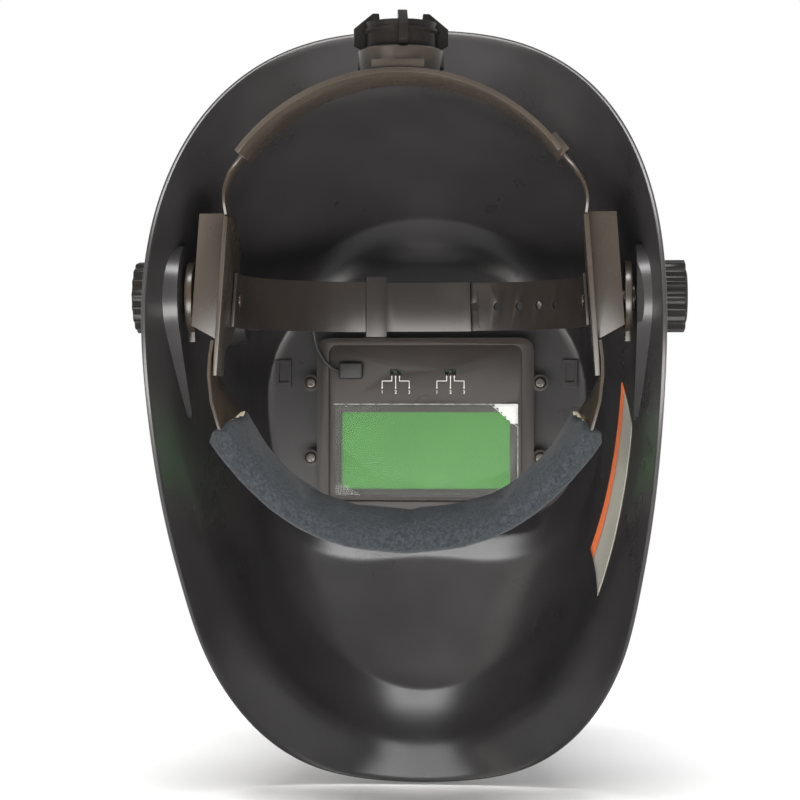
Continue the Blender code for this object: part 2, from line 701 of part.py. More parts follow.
def build_case():
    rear = piece(
        "adf_case_rear",
        upright_plate([cartridge_outline()], CARTRIDGE_BACK_Y, case_split() - GAP / 2),
        CASE_PLASTIC,
    )
    inside = cartridge_outline(-CASE_WALL)
    hollow = upright_plate([inside], CARTRIDGE_BACK_Y + CASE_FACE, case_split() + WALL)
    cut(rear, tool("case_rear_hollow", hollow))
    lens_top = VIEW_Z + INNER_LENS_HEIGHT / 2
    lens_seat = rounded_rectangle(
        INNER_LENS_WIDTH + 2 * GAP, INNER_LENS_HEIGHT + 2 * GAP, 0.002, (0, VIEW_Z)
    )
    recess = upright_plate(
        [lens_seat], CARTRIDGE_BACK_Y - WALL, CARTRIDGE_BACK_Y + INNER_LENS_THICKNESS + GAP
    )
    cut(rear, tool("inner_lens_recess", recess))
    thumb = upright_plate(
        [circle(THUMB_NOTCH_RADIUS, (0, lens_top + GAP), 24)],
        CARTRIDGE_BACK_Y - WALL, CARTRIDGE_BACK_Y + CASE_FACE * 0.7,
    )
    cut(rear, tool("thumb_notch", thumb))
    view = [rounded_rectangle(VIEW_WIDTH, VIEW_HEIGHT, 0.002, (0, VIEW_Z))]
    cut(rear, tool("rear_view", upright_plate(view, CARTRIDGE_BACK_Y - WALL, case_split())))
    slot_width = SLIDER_WIDTH + 2 * (SLIDER_TRAVEL + GAP)
    for name, x in (("sensitivity", SENSITIVITY_X), ("delay", DELAY_X)):
        slot = centred_box(
            name + "_slot", x, SLIDER_Z, slot_width, SLOT_HEIGHT + 2 * GAP,
            CARTRIDGE_BACK_Y - WALL, CARTRIDGE_BACK_Y + CASE_FACE + WALL,
        )
        cut(rear, slot)

    front = piece(
        "adf_case_front",
        upright_plate([cartridge_outline()], case_split() + GAP / 2, CARTRIDGE_FRONT_Y),
        CASE_PLASTIC,
    )
    hollow = upright_plate([inside], case_split() - WALL, CARTRIDGE_FRONT_Y - CASE_WALL)
    cut(front, tool("case_front_hollow", hollow))
    cut(front, tool("front_view", upright_plate(view, case_split(), CARTRIDGE_FRONT_Y + WALL)))
    cell_hole = rounded_rectangle(SOLAR_WIDTH, SOLAR_HEIGHT, 0.001, (0, SOLAR_Z))
    cut(front, tool("solar_window", upright_plate([cell_hole], case_split(), CARTRIDGE_FRONT_Y + WALL)))
    for word, side in sides():
        eye = upright_plate(
            [circle(SENSOR_RADIUS, (side * SENSOR_X, SOLAR_Z), 20)], case_split(), CARTRIDGE_FRONT_Y + WALL
        )
        cut(front, tool("sensor_window_" + word, eye))


def build_cartridge_insides():
    filter_y = CARTRIDGE_BACK_Y + CASE_FACE + GAP
    glass = rounded_rectangle(
        CARTRIDGE_WIDTH - 2 * CASE_WALL - 4 * GAP, VIEW_HEIGHT + 2 * FILTER_EDGE, 0.001, (0, VIEW_Z)
    )
    piece("lcd_filter", upright_plate([glass], filter_y, filter_y + FILTER_THICKNESS), GREEN_GLASS)
    inner = rounded_rectangle(INNER_LENS_WIDTH, INNER_LENS_HEIGHT, 0.002, (0, VIEW_Z))
    piece(
        "inner_cover_lens",
        upright_plate([inner], CARTRIDGE_BACK_Y, CARTRIDGE_BACK_Y + INNER_LENS_THICKNESS),
        CLEAR,
    )
    board_y = CARTRIDGE_FRONT_Y - CASE_WALL - GAP - SENSOR_DEPTH - GAP
    board_top = CARTRIDGE_Z + CARTRIDGE_HEIGHT / 2 - CASE_WALL - 2 * GAP
    board_bottom = VIEW_Z + VIEW_HEIGHT / 2 + FILTER_EDGE + GAP
    board = rounded_rectangle(
        CARTRIDGE_WIDTH - 2 * CASE_WALL - 4 * GAP, board_top - board_bottom, 0.003,
        (0, (board_top + board_bottom) / 2),
    )
    piece("circuit_board", upright_plate([board], board_y - BOARD_THICKNESS, board_y), BOARD)
    cell = rounded_rectangle(SOLAR_WIDTH - 2 * GAP, SOLAR_HEIGHT - 2 * GAP, 0.001, (0, SOLAR_Z))
    cell_y = CARTRIDGE_FRONT_Y - GAP
    piece("solar_cell", upright_plate([cell], board_y + GAP, cell_y), SOLAR)
    for word, side in sides():
        place = Matrix.Translation((side * SENSOR_X, board_y + GAP, SOLAR_Z)) @ FACING_BACK.inverted()
        depth = CARTRIDGE_FRONT_Y - GAP - board_y - GAP
        line = profile([
            (0, depth), (SENSOR_RADIUS * 0.6, depth * 0.93), (SENSOR_RADIUS - GAP, depth * 0.7),
            (SENSOR_RADIUS - GAP, 0), (0, 0),
        ])
        screw(piece("arc_sensor_" + word, line, SENSOR, matrix=place), 20)
    slider_end = board_y - BOARD_THICKNESS - GAP
    for name, x in (("sensitivity_slider", SENSITIVITY_X), ("delay_slider", DELAY_X)):
        low = (x - SLIDER_WIDTH / 2, CARTRIDGE_BACK_Y - SLIDER_STAND, SLIDER_Z - SLOT_HEIGHT / 2)
        high = (x + SLIDER_WIDTH / 2, slider_end, SLIDER_Z + SLOT_HEIGHT / 2)
        path = anchor(name + "_path", (x, CARTRIDGE_BACK_Y, SLIDER_Z))
        piece(name, box(low, high), CASE_PLASTIC, path)


def build_shade_control():
    """The shade knob outside the left wall, its potentiometer inside, and their lead."""
    seat = -SHADE_SEAT_X
    place = Matrix.Translation((seat, SHADE_Y, SHADE_Z)) @ along_x(-1)
    axis = anchor("shade_axis", (seat, SHADE_Y, SHADE_Z))
    shaft_end = WALL + GAP + SHADE_KNOB_HEIGHT * 0.6
    nut_top = WALL + GAP + SHADE_NUT_THICKNESS
    body = profile([
        (0, -GAP - SHADE_BODY_LENGTH),
        (SHADE_BODY_RADIUS, -GAP - SHADE_BODY_LENGTH),
        (SHADE_BODY_RADIUS, -GAP),
        (SHADE_BUSH_RADIUS, -GAP),
        (SHADE_BUSH_RADIUS, nut_top),
        (0, nut_top),
    ][::-1])
    screw(piece("shade_pot_body", body, STEEL, matrix=place), 24)
    nut_outlines = [circle(SHADE_NUT_ACROSS / 2, count=6), circle(SHADE_BUSH_RADIUS + GAP, count=24)]
    nut = flat(nut_outlines, SHADE_NUT_THICKNESS)
    nut_place = place @ Matrix.Translation((0, 0, WALL + GAP + SHADE_NUT_THICKNESS / 2))
    piece("shade_pot_nut", nut, BRASS, matrix=nut_place)
    knob_base = WALL + 2 * GAP
    rim = fluted(SHADE_KNOB_RADIUS, SHADE_KNOB_RADIUS * 0.93, 12)
    knob_place = place @ Matrix.Translation((0, 0, knob_base + SHADE_KNOB_HEIGHT / 2))
    knob = piece("shade_knob", flat([rim], SHADE_KNOB_HEIGHT), KNOB_PLASTIC, axis, knob_place)
    bevel(knob, 0.0006, 1)
    well = cylinder(SHADE_NUT_ACROSS / 2 + 2 * GAP, -SHADE_KNOB_HEIGHT, SHADE_NUT_THICKNESS + 2 * GAP)
    cut(knob, tool("shade_knob_well", well, place @ Matrix.Translation((0, 0, knob_base))))

    boot_y = CARTRIDGE_BACK_Y - GAP
    low = (BOOT_X - BOOT_WIDTH / 2, boot_y - BOOT_DEPTH, BOOT_Z - BOOT_HEIGHT / 2)
    high = (BOOT_X + BOOT_WIDTH / 2, boot_y, BOOT_Z + BOOT_HEIGHT / 2)
    boot = piece("wire_boot", box(low, high), RUBBER)
    bevel(boot, 0.0012)
    route = (
        (low[0] - 2 * GAP, boot_y - BOOT_DEPTH / 2, BOOT_Z),
        (-0.0505, 0.1374, -0.0322),
        (-0.0552, 0.1367, -0.0275),
        (-0.0590, 0.1366, -0.0200),
        (-0.0605, 0.1358, -0.0120),
        (-0.0620, 0.1330, -0.0030),
        (-0.0650, 0.1270, 0.0040),
        (-0.0700, 0.1180, 0.0065),
        (-0.0745, 0.1085, 0.0045),
        (-0.0785, 0.1020, -0.0005),
        (-0.0815, 0.1002, -0.0036),
        (seat + SHADE_BODY_LENGTH + 2 * GAP, SHADE_Y, SHADE_Z),
    )
    lead = bpy.data.curves.new("shade_lead", "CURVE")
    lead.dimensions = "3D"
    lead.bevel_depth = LEAD_RADIUS
    lead.bevel_resolution = 2
    lead.use_fill_caps = True
    spline = lead.splines.new("POLY")
    points = smooth(route, 34)
    spline.points.add(len(points) - 1)
    for corner, point in zip(spline.points, points):
        corner.co = (*point, 1)
    piece("shade_lead", lead, RUBBER)


def fluted(outer, inner, count):
    """A knob's outline with rounded flutes."""
    points = []
    for step in range(4 * count):
        turn = 2 * math.pi * step / (4 * count)
        radius = (outer, outer, inner, inner)[step % 4]
        points.append((radius * math.cos(turn), radius * math.sin(turn)))
    return points

# ---------------------------------------------------------------- pivots


def build_pivots(carrier):
    for word, side in sides():
        turn = along_x(side)
        disc_in = block_outer_x(BLOCK_BOTTOM) + GAP
        disc_out = disc_in + STOP_DISC_THICKNESS
        outline = circle(STOP_DISC_RADIUS, count=36)
        disc = piece(
            "stop_disc_" + word, flat([outline], STOP_DISC_THICKNESS), HEADGEAR, carrier,
            Matrix.Translation((side * (disc_in + disc_out) / 2, 0, 0)) @ FACING_RIGHT,
        )
        tab_end = STOP_DISC_RADIUS + STOP_TAB_LENGTH
        low = (min(side * disc_in, side * disc_out), -STOP_TAB_WIDTH / 2, -tab_end)
        high = (max(side * disc_in, side * disc_out), STOP_TAB_WIDTH / 2, -STOP_DISC_RADIUS / 2)
        join(disc, tool("stop_tab_" + word, box(low, high)))
        bolt_hole = cylinder(BOLT_RADIUS + GAP, -0.01, 0.01, turn)
        cut(disc, tool("disc_hole_" + word, bolt_hole, Matrix.Translation((side * disc_in, 0, 0))))

        spacer_out = PIVOT_SEAT_X - GAP
        ring = profile([
            (BOLT_RADIUS + GAP, disc_out + GAP), (BOLT_RADIUS + GAP, spacer_out),
            (SPACER_RADIUS, spacer_out), (SPACER_RADIUS, disc_out + GAP),
        ], closed=True)
        screw(piece("pivot_spacer_" + word, ring, HEADGEAR, carrier, turn), 24)

        washer_in = PIVOT_SEAT_X + WALL + GAP
        washer_out = washer_in + WASHER_THICKNESS
        ring = profile([
            (BOLT_RADIUS + GAP, washer_in), (BOLT_RADIUS + GAP, washer_out),
            (WASHER_RADIUS, washer_out), (WASHER_RADIUS, washer_in),
        ], closed=True)
        screw(piece("tension_washer_" + word, ring, STEEL, carrier, turn), 24)

        knob_in = washer_out + GAP
        knob_out = knob_in + TENSION_KNOB_HEIGHT
        bolt_end = knob_in + TENSION_KNOB_HEIGHT * 0.6
        head_out = block_pocket_x() - GAP
        head_in = head_out - BOLT_HEAD_THICKNESS
        head = box(
            (-BOLT_HEAD_WIDTH / 2, -BOLT_HEAD_WIDTH / 2, head_in),
            (BOLT_HEAD_WIDTH / 2, BOLT_HEAD_WIDTH / 2, head_out),
        )
        bolt = piece("pivot_bolt_" + word, head, STEEL, carrier, turn)
        shank = cylinder(BOLT_RADIUS, head_in + BOLT_HEAD_THICKNESS / 2, bolt_end)
        join(bolt, tool("bolt_shank_" + word, shank, turn))

        axis = anchor("tension_axis_" + word, (side * knob_in, 0, 0), carrier)
        rim = fluted(TENSION_KNOB_RADIUS, TENSION_KNOB_RADIUS * 0.94, TENSION_KNOB_FLUTES)
        place = turn @ Matrix.Translation((0, 0, (knob_in + knob_out) / 2))
        knob_mesh = flat([rim], TENSION_KNOB_HEIGHT)
        knob = piece("tension_knob_" + word, knob_mesh, KNOB_PLASTIC, axis, place)
        bevel(knob, 0.0009, 1)
        well = cylinder(BOLT_RADIUS + GAP, knob_in - WALL, bolt_end + GAP)
        cut(knob, tool("knob_well_" + word, well, turn))

# ---------------------------------------------------------------- headgear


def rail_x(z):
    """Middle of a side rail; the two rails part towards the forehead."""
    return RAIL_TOP_X + RAIL_TILT * (RAIL_TOP - z)


def rail_outer_x(z):
    return rail_x(z) + RAIL_THICKNESS / 2


def rail_inner_x(z):
    return rail_x(z) - RAIL_THICKNESS / 2


def block_inner_x(z):
    return rail_outer_x(z) + GAP


def block_outer_x(z):
    return block_inner_x(z) + BLOCK_THICKNESS


def block_pocket_x():
    """Floor of the pocket that the bolt's head slides in."""
    return block_outer_x(SLIDE_FORWARD + BOLT_HEAD_WIDTH / 2) - BLOCK_FACE


def build_side_rail(word, side, cradle):
    socket_near = RAIL_NEAR
    socket_far = RAIL_NEAR + SOCKET_WIDTH
    tail_far = RAIL_NEAR + TAIL_WIDTH
    slope = RAIL_FAR - tail_far
    stations = (
        (RAIL_TOP, tail_far),
        (RAIL_TOP - 0.003, tail_far + 0.15 * slope),
        (RAIL_TOP - 0.006, tail_far + 0.75 * slope),
        (RAIL_TOP - 0.011, RAIL_FAR),
        (RAIL_SHOULDER, RAIL_FAR),
        (RAIL_SHOULDER - 0.008, socket_far + 0.55 * (RAIL_FAR - socket_far)),
        (RAIL_SHOULDER - 0.012, socket_far),
        (RAIL_BOTTOM, socket_far),
    )
    near = [(side * rail_x(z), socket_near, z) for z, far in stations]
    far_edge = [(side * rail_x(z), far, z) for z, far in stations]
    rail = piece("side_rail_" + word, ribbon(near, far_edge), HEADGEAR, cradle)
    thicken(rail, RAIL_THICKNESS)
    start = rail_x(STRAP_Z) - 2 * RAIL_THICKNESS
    end = rail_x(STRAP_Z) + 2 * RAIL_THICKNESS
    hole = cylinder(RIVET_RADIUS + GAP, start, end, along_x(side), 12)
    cut(rail, tool("rail_rivet_hole_" + word, hole, Matrix.Translation((0, rivet_y(), STRAP_Z))))


def rivet_y():
    return (STRAP_FOOT + STRAP_SHOULDER) / 2


def build_side_block(word, side, cradle):
    """The slotted block on the outside of a rail, in which the pivot bolt can slide."""
    gusset_end = BLOCK_BOTTOM - BLOCK_GUSSET
    outline = [
        (side * block_inner_x(BLOCK_TOP), BLOCK_TOP),
        (side * block_outer_x(BLOCK_TOP), BLOCK_TOP),
        (side * block_outer_x(BLOCK_BOTTOM), BLOCK_BOTTOM),
        (side * (block_inner_x(gusset_end) + 4 * GAP), gusset_end),
        (side * block_inner_x(gusset_end), gusset_end),
    ]
    block_mesh = upright_plate([outline], -BLOCK_DEPTH / 2, BLOCK_DEPTH / 2)
    block = piece("side_block_" + word, block_mesh, HEADGEAR, cradle)
    head = BOLT_HEAD_WIDTH / 2 + 2 * GAP
    pocket_out = block_pocket_x()
    xs = sorted((side * (block_inner_x(BLOCK_TOP) - WALL), side * pocket_out))
    pocket = box((xs[0], -head, -SLIDE_BACK - head), (xs[1], head, SLIDE_FORWARD + head))
    cut(block, tool("block_pocket_" + word, pocket))
    slot = BOLT_RADIUS + GAP
    xs = sorted((side * (pocket_out - WALL), side * (block_outer_x(BLOCK_BOTTOM) + WALL)))
    opening = flat([wrap(((0, -SLIDE_BACK, slot), (0, SLIDE_FORWARD, slot)), 32)], xs[1] - xs[0])
    place = Matrix.Translation(((xs[0] + xs[1]) / 2, 0, 0)) @ FACING_RIGHT
    cut(block, tool("block_slot_" + word, opening, place))
    clear = RIVET_HEAD_RADIUS + 2 * GAP
    rail_side = block_inner_x(STRAP_Z)
    xs = sorted((side * (rail_side - WALL), side * (rail_side + RIVET_HEAD + 3 * GAP)))
    low = (xs[0], rivet_y() - clear, STRAP_Z - clear)
    high = (xs[1], rivet_y() + clear, STRAP_Z + clear)
    cut(block, tool("block_rivet_relief_" + word, box(low, high)))


BAND_STATIONS = 24              # spaces along the whole band
# The band's two edges from its ends to its middle: share of its half width, share of its drop
BAND_ROUTE = (
    (0.960, 0.326, 0.878, 0.188),
    (0.803, 0.570, 0.747, 0.457),
    (0.572, 0.810, 0.551, 0.689),
    (0.316, 0.946, 0.311, 0.815),
    (0.000, 1.000, 0.000, 0.861),
)


def band_paths():
    """Lower and upper edges of a strip as wide as the pad, from the right rail to the left."""
    start = RAIL_BOTTOM + BAND_OVERLAP
    rail_gap = RAIL_THICKNESS / 2 + GAP + BAND_THICKNESS / 2
    centre_y = RAIL_NEAR + SOCKET_WIDTH / 2
    near_y = centre_y - PAD_WIDTH / 2
    far_y = centre_y + PAD_WIDTH / 2
    top = rail_x(start) + rail_gap
    foot = rail_x(RAIL_BOTTOM) + rail_gap
    near = [(top, near_y, start), (foot, near_y, RAIL_BOTTOM)]
    far = [(top, far_y, start), (foot, far_y, RAIL_BOTTOM)]
    for across_near, down_near, across_far, down_far in BAND_ROUTE:
        near.append((foot * across_near, near_y, RAIL_BOTTOM - BAND_DROP * down_near))
        far.append((foot * across_far, far_y, RAIL_BOTTOM - BAND_DROP * down_far))
    half = BAND_STATIONS // 2
    return mirrored(smooth(near, half)), mirrored(smooth(far, half))


def mirrored(points):
    """Points down to the middle plane, followed by their mirror image."""
    return points + [Vector((-p.x, p.y, p.z)) for p in reversed(points[:-1])]


def narrowed(near, far, width):
    """The same strip, narrowed about its middle line."""
    first = []
    second = []
    for a, b in zip(near, far):
        middle = (a + b) / 2
        reach = (b - a).normalized() * width / 2
        first.append(middle - reach)
        second.append(middle + reach)
    return first, second


def tapered_band(near, far, spare=0):
    """The band's own edges: as wide as the rail's end at first, then its full width."""
    first = []
    second = []
    count = len(near) - 1
    for step, (a, b) in enumerate(zip(near, far)):
        share = min(min(step, count - step) / (count * 0.12), 1)
        width = SOCKET_WIDTH - 2 * GAP + (BAND_WIDTH - SOCKET_WIDTH + 2 * GAP) * share + 2 * spare
        middle = (a + b) / 2
        reach = (b - a).normalized() * width / 2
        first.append(middle - reach)
        second.append(middle + reach)
    return first, second


def build_front_band(cradle):
    near, far = band_paths()
    band = piece("front_band", ribbon(*tapered_band(near, far)), HEADGEAR, cradle)
    thicken(band, BAND_THICKNESS)


def build_sweatband(cradle):
    """A fleece sleeve round the middle of the band."""
    near, far = band_paths()
    skip = round(PAD_START * BAND_STATIONS / 2)
    near_pad, far_pad = narrowed(near, far, PAD_WIDTH - PAD_THICKNESS * 0.2)
    pad_mesh = ribbon(near_pad[skip:-skip], far_pad[skip:-skip])
    pad = piece("sweatband_pad", pad_mesh, FLEECE, cradle)
    thicken(pad, PAD_THICKNESS)
    bevel(pad, PAD_THICKNESS * 0.35, 2, 60)
    sleeve = tool("sweatband_sleeve", ribbon(*tapered_band(near, far, 3 * GAP)))
    thicken(sleeve, BAND_THICKNESS + 6 * GAP)
    cut(pad, sleeve)


def strap_reach():
    """Middle of a strap's foot, flat against the inside of the rail."""
    return rail_inner_x(STRAP_Z) - GAP - STRAP_THICKNESS / 2


def strap_path(crown, end_x, count):
    """A crown strap from its foot on the right rail, over the head to end_x."""
    reach = strap_reach()
    last = math.acos(end_x / reach)
    points = [Vector((reach, STRAP_FOOT, 0))]
    for step in range(count + 1):
        turn = last * step / count
        rise = (crown - STRAP_SHOULDER) * math.sin(turn)
        points.append(Vector((reach * math.cos(turn), STRAP_SHOULDER + rise, 0)))
    return points


def strap_ribbon(path, side, width):
    """A strap whose feet lean with the rails, and which is level over the crown."""
    lean = RAIL_TILT * width / 2 / strap_reach()
    low = [(side * p.x * (1 + lean), p.y, STRAP_Z - width / 2) for p in path]
    high = [(side * p.x * (1 - lean), p.y, STRAP_Z + width / 2) for p in path]
    return ribbon(low, high)


def crown_height(path, x):
    """Height of a strap's middle surface at a place across the head."""
    for first, second in zip(path, path[1:]):
        if first.x >= x >= second.x and first.x > second.x:
            share = (first.x - x) / (first.x - second.x)
            return first.y + (second.y - first.y) * share
    return path[-1].y


def build_crown_straps(cradle):
    """Left strap with loop, tongue and peg; right strap with holes, over it."""
    lower = strap_path(STRAP_CROWN, -TONGUE_END, 28)
    step_up = (STRAP_THICKNESS + TONGUE_THICKNESS) / 2 + 2 * GAP
    upper = strap_path(STRAP_CROWN + step_up, STRAP_TAIL_END, 28)
    plain = [p for p in lower if p.x > -LOOP_X - LOOP_WIDTH / 4]
    left = piece("crown_strap_left", strap_ribbon(plain, -1, STRAP_WIDTH), HEADGEAR, cradle)
    thicken(left, STRAP_THICKNESS)
    tongue_path = [p for p in lower if p.x < LOOP_WIDTH / 2 - LOOP_X]
    tongue = tool("strap_tongue", strap_ribbon(tongue_path, -1, STRAP_WIDTH - 2 * GAP))
    thicken(tongue, TONGUE_THICKNESS)
    join(left, tongue)
    crown_side = crown_height(lower, -LOOP_X - LOOP_WIDTH / 2)
    foot_side = crown_height(lower, -LOOP_X + LOOP_WIDTH / 2)
    slope = math.atan2(crown_side - foot_side, LOOP_WIDTH)
    place = Matrix.Translation((LOOP_X, (crown_side + foot_side) / 2, STRAP_Z))
    place @= Matrix.Rotation(slope, 4, "Z")
    half = STRAP_WIDTH / 2 + 3 * GAP
    roof = TONGUE_THICKNESS / 2 + STRAP_THICKNESS + 4 * GAP
    ring = box(
        (-LOOP_WIDTH / 2, -TONGUE_THICKNESS / 2 - LOOP_WALL, -half - LOOP_WALL),
        (LOOP_WIDTH / 2, roof + LOOP_WALL, half + LOOP_WALL),
    )
    join(left, tool("strap_loop", ring, place))
    passage = box((-LOOP_WIDTH, TONGUE_THICKNESS / 2, -half), (LOOP_WIDTH, roof, half))
    cut(left, tool("strap_passage", passage, place))
    peg_top = STRAP_CROWN + step_up + STRAP_THICKNESS / 2 + PEG_RADIUS / 2
    peg_x = PEG_X
    peg = cylinder(PEG_RADIUS, -peg_top, -STRAP_CROWN, FACING_BACK, 16)
    join(left, tool("strap_peg", peg, Matrix.Translation((peg_x, 0, STRAP_Z))))

    right_mesh = strap_ribbon(upper, 1, STRAP_WIDTH - 4 * GAP)
    right = piece("crown_strap_right", right_mesh, HEADGEAR, cradle)
    thicken(right, STRAP_THICKNESS)
    for number, x in enumerate(strap_hole_places(upper)):
        here = Vector((x, crown_height(upper, x), STRAP_Z))
        ahead = Vector((x + 0.001, crown_height(upper, x + 0.001), STRAP_Z))
        across = (ahead - here).cross(Vector((0, 0, 1))).normalized()
        place = Matrix.Translation(here) @ across.to_track_quat("Z", "Y").to_matrix().to_4x4()
        hole = cylinder(STRAP_HOLE_RADIUS, -0.004, 0.004, segments=12)
        cut(right, tool("strap_hole_%d" % number, hole, place))

    for (word, side), strap in zip((("left", -1), ("right", 1)), (left, right)):
        hole = cylinder(
            RIVET_RADIUS + GAP, strap_reach() - 0.004, strap_reach() + 0.004, along_x(side), 12
        )
        cut(strap, tool("strap_rivet_hole_" + word, hole, Matrix.Translation((0, rivet_y(), STRAP_Z))))
        head_lean = RAIL_TILT * RIVET_HEAD_RADIUS
        inner = strap_reach() - STRAP_THICKNESS / 2 - GAP - head_lean
        outer = rail_outer_x(STRAP_Z) + GAP + head_lean
        line = profile([
            (0, outer + RIVET_HEAD), (RIVET_HEAD_RADIUS * 0.8, outer + RIVET_HEAD),
            (RIVET_HEAD_RADIUS, outer), (RIVET_RADIUS, outer), (RIVET_RADIUS, inner),
            (RIVET_HEAD_RADIUS, inner), (RIVET_HEAD_RADIUS * 0.8, inner - RIVET_HEAD),
            (0, inner - RIVET_HEAD),
        ])
        place = Matrix.Translation((0, rivet_y(), STRAP_Z)) @ along_x(side)
        screw(piece("strap_rivet_" + word, line, HEADGEAR, cradle, place), 16)


def strap_hole_places(path):
    """The peg's hole comes first, and the others follow it down the right strap."""
    x = PEG_X
    for _ in range(STRAP_HOLES):
        yield x
        ahead = x + STRAP_HOLE_PITCH
        slope = (crown_height(path, ahead) - crown_height(path, x)) / STRAP_HOLE_PITCH
        x += STRAP_HOLE_PITCH / math.hypot(1, slope)


def nape_arc(radius, start, end, count):
    """Points on an arc about the nape plate's axis; the angles are from straight up."""
    middle_z = NAPE_CROWN - NAPE_RADIUS
    turns = [math.radians(start + (end - start) * step / count) for step in range(count + 1)]
    return [Vector((radius * math.sin(t), 0, middle_z + radius * math.cos(t))) for t in turns]


def shifted(points, y):
    return [Vector((p.x, p.y + y, p.z)) for p in points]


def build_nape_plate(slide):
    arc = nape_arc(NAPE_RADIUS, -NAPE_HALF_ANGLE, NAPE_HALF_ANGLE, 28)
    near = shifted(arc, NAPE_Y - NAPE_WIDTH / 2)
    far = shifted(arc, NAPE_Y + NAPE_WIDTH / 2)
    plate = piece("nape_plate", ribbon(near, far), HEADGEAR, slide)
    thicken(plate, NAPE_THICKNESS)
    outer = NAPE_RADIUS + NAPE_THICKNESS / 2
    loop_angle = NAPE_HALF_ANGLE - 3.0
    for word, side in sides():
        turn = Matrix.Rotation(math.radians(side * loop_angle), 4, "Y")
        place = Matrix.Translation((0, 0, NAPE_CROWN - NAPE_RADIUS)) @ turn
        tail_near, tail_far = tail_edges_at_loop()
        loop = box(
            (-NAPE_LOOP_WIDTH / 2, tail_near - 2 * GAP - NAPE_LOOP_WALL, outer - NAPE_THICKNESS / 2),
            (NAPE_LOOP_WIDTH / 2, tail_far + 2 * GAP + NAPE_LOOP_WALL, outer + NAPE_LOOP_HEIGHT),
        )
        join(plate, tool("nape_loop_" + word, loop, place))
        passage = box(
            (-NAPE_LOOP_WIDTH, tail_near - 2 * GAP, outer),
            (NAPE_LOOP_WIDTH, tail_far + 2 * GAP, outer + NAPE_LOOP_HEIGHT - NAPE_LOOP_WALL),
        )
        cut(plate, tool("nape_passage_" + word, passage, place))


def tail_edges_at_loop():
    return NAPE_Y - TAIL_WIDTH / 2 + TAIL_SHIFT, NAPE_Y + TAIL_WIDTH / 2 + TAIL_SHIFT


def build_ratchet_tails(cradle):
    """The flexible ends of the headband, drawn together inside the ratchet."""
    radius = NAPE_RADIUS + NAPE_THICKNESS / 2 + GAP + TAIL_THICKNESS / 2
    loop_angle = NAPE_HALF_ANGLE - 3.0
    last_angle = math.degrees(math.asin((PINION_RADIUS + GAP) / radius))
    rail_y = RAIL_NEAR + TAIL_WIDTH / 2
    for word, side in sides():
        arc = nape_arc(radius, loop_angle + 5, last_angle, 14)
        entry = Vector((arc[0].x, NAPE_Y + TAIL_SHIFT, arc[0].z))
        start = Vector((rail_x(RAIL_TOP), rail_y, RAIL_TOP + GAP))
        route = [start]
        for along, aside in ((0.30, 0.12), (0.55, 0.42), (0.80, 0.84)):
            point = start.lerp(entry, along)
            point.x += 0.0040 * math.sin(math.pi * along)
            point.y = start.y + (entry.y - start.y) * aside
            route.append(point)
        for number, point in enumerate(arc):
            share = min(max(number - 2, 0) / 5, 1)
            route.append(Vector((point.x, NAPE_Y + TAIL_SHIFT * (1 - share), point.z)))
        points = smooth(route, 36)
        near = [Vector((side * p.x, p.y - TAIL_WIDTH / 2, p.z)) for p in points]
        far = [Vector((side * p.x, p.y + TAIL_WIDTH / 2, p.z)) for p in points]
        tail = piece("ratchet_tail_" + word, ribbon(near, far), HEADGEAR, cradle)
        thicken(tail, TAIL_THICKNESS)


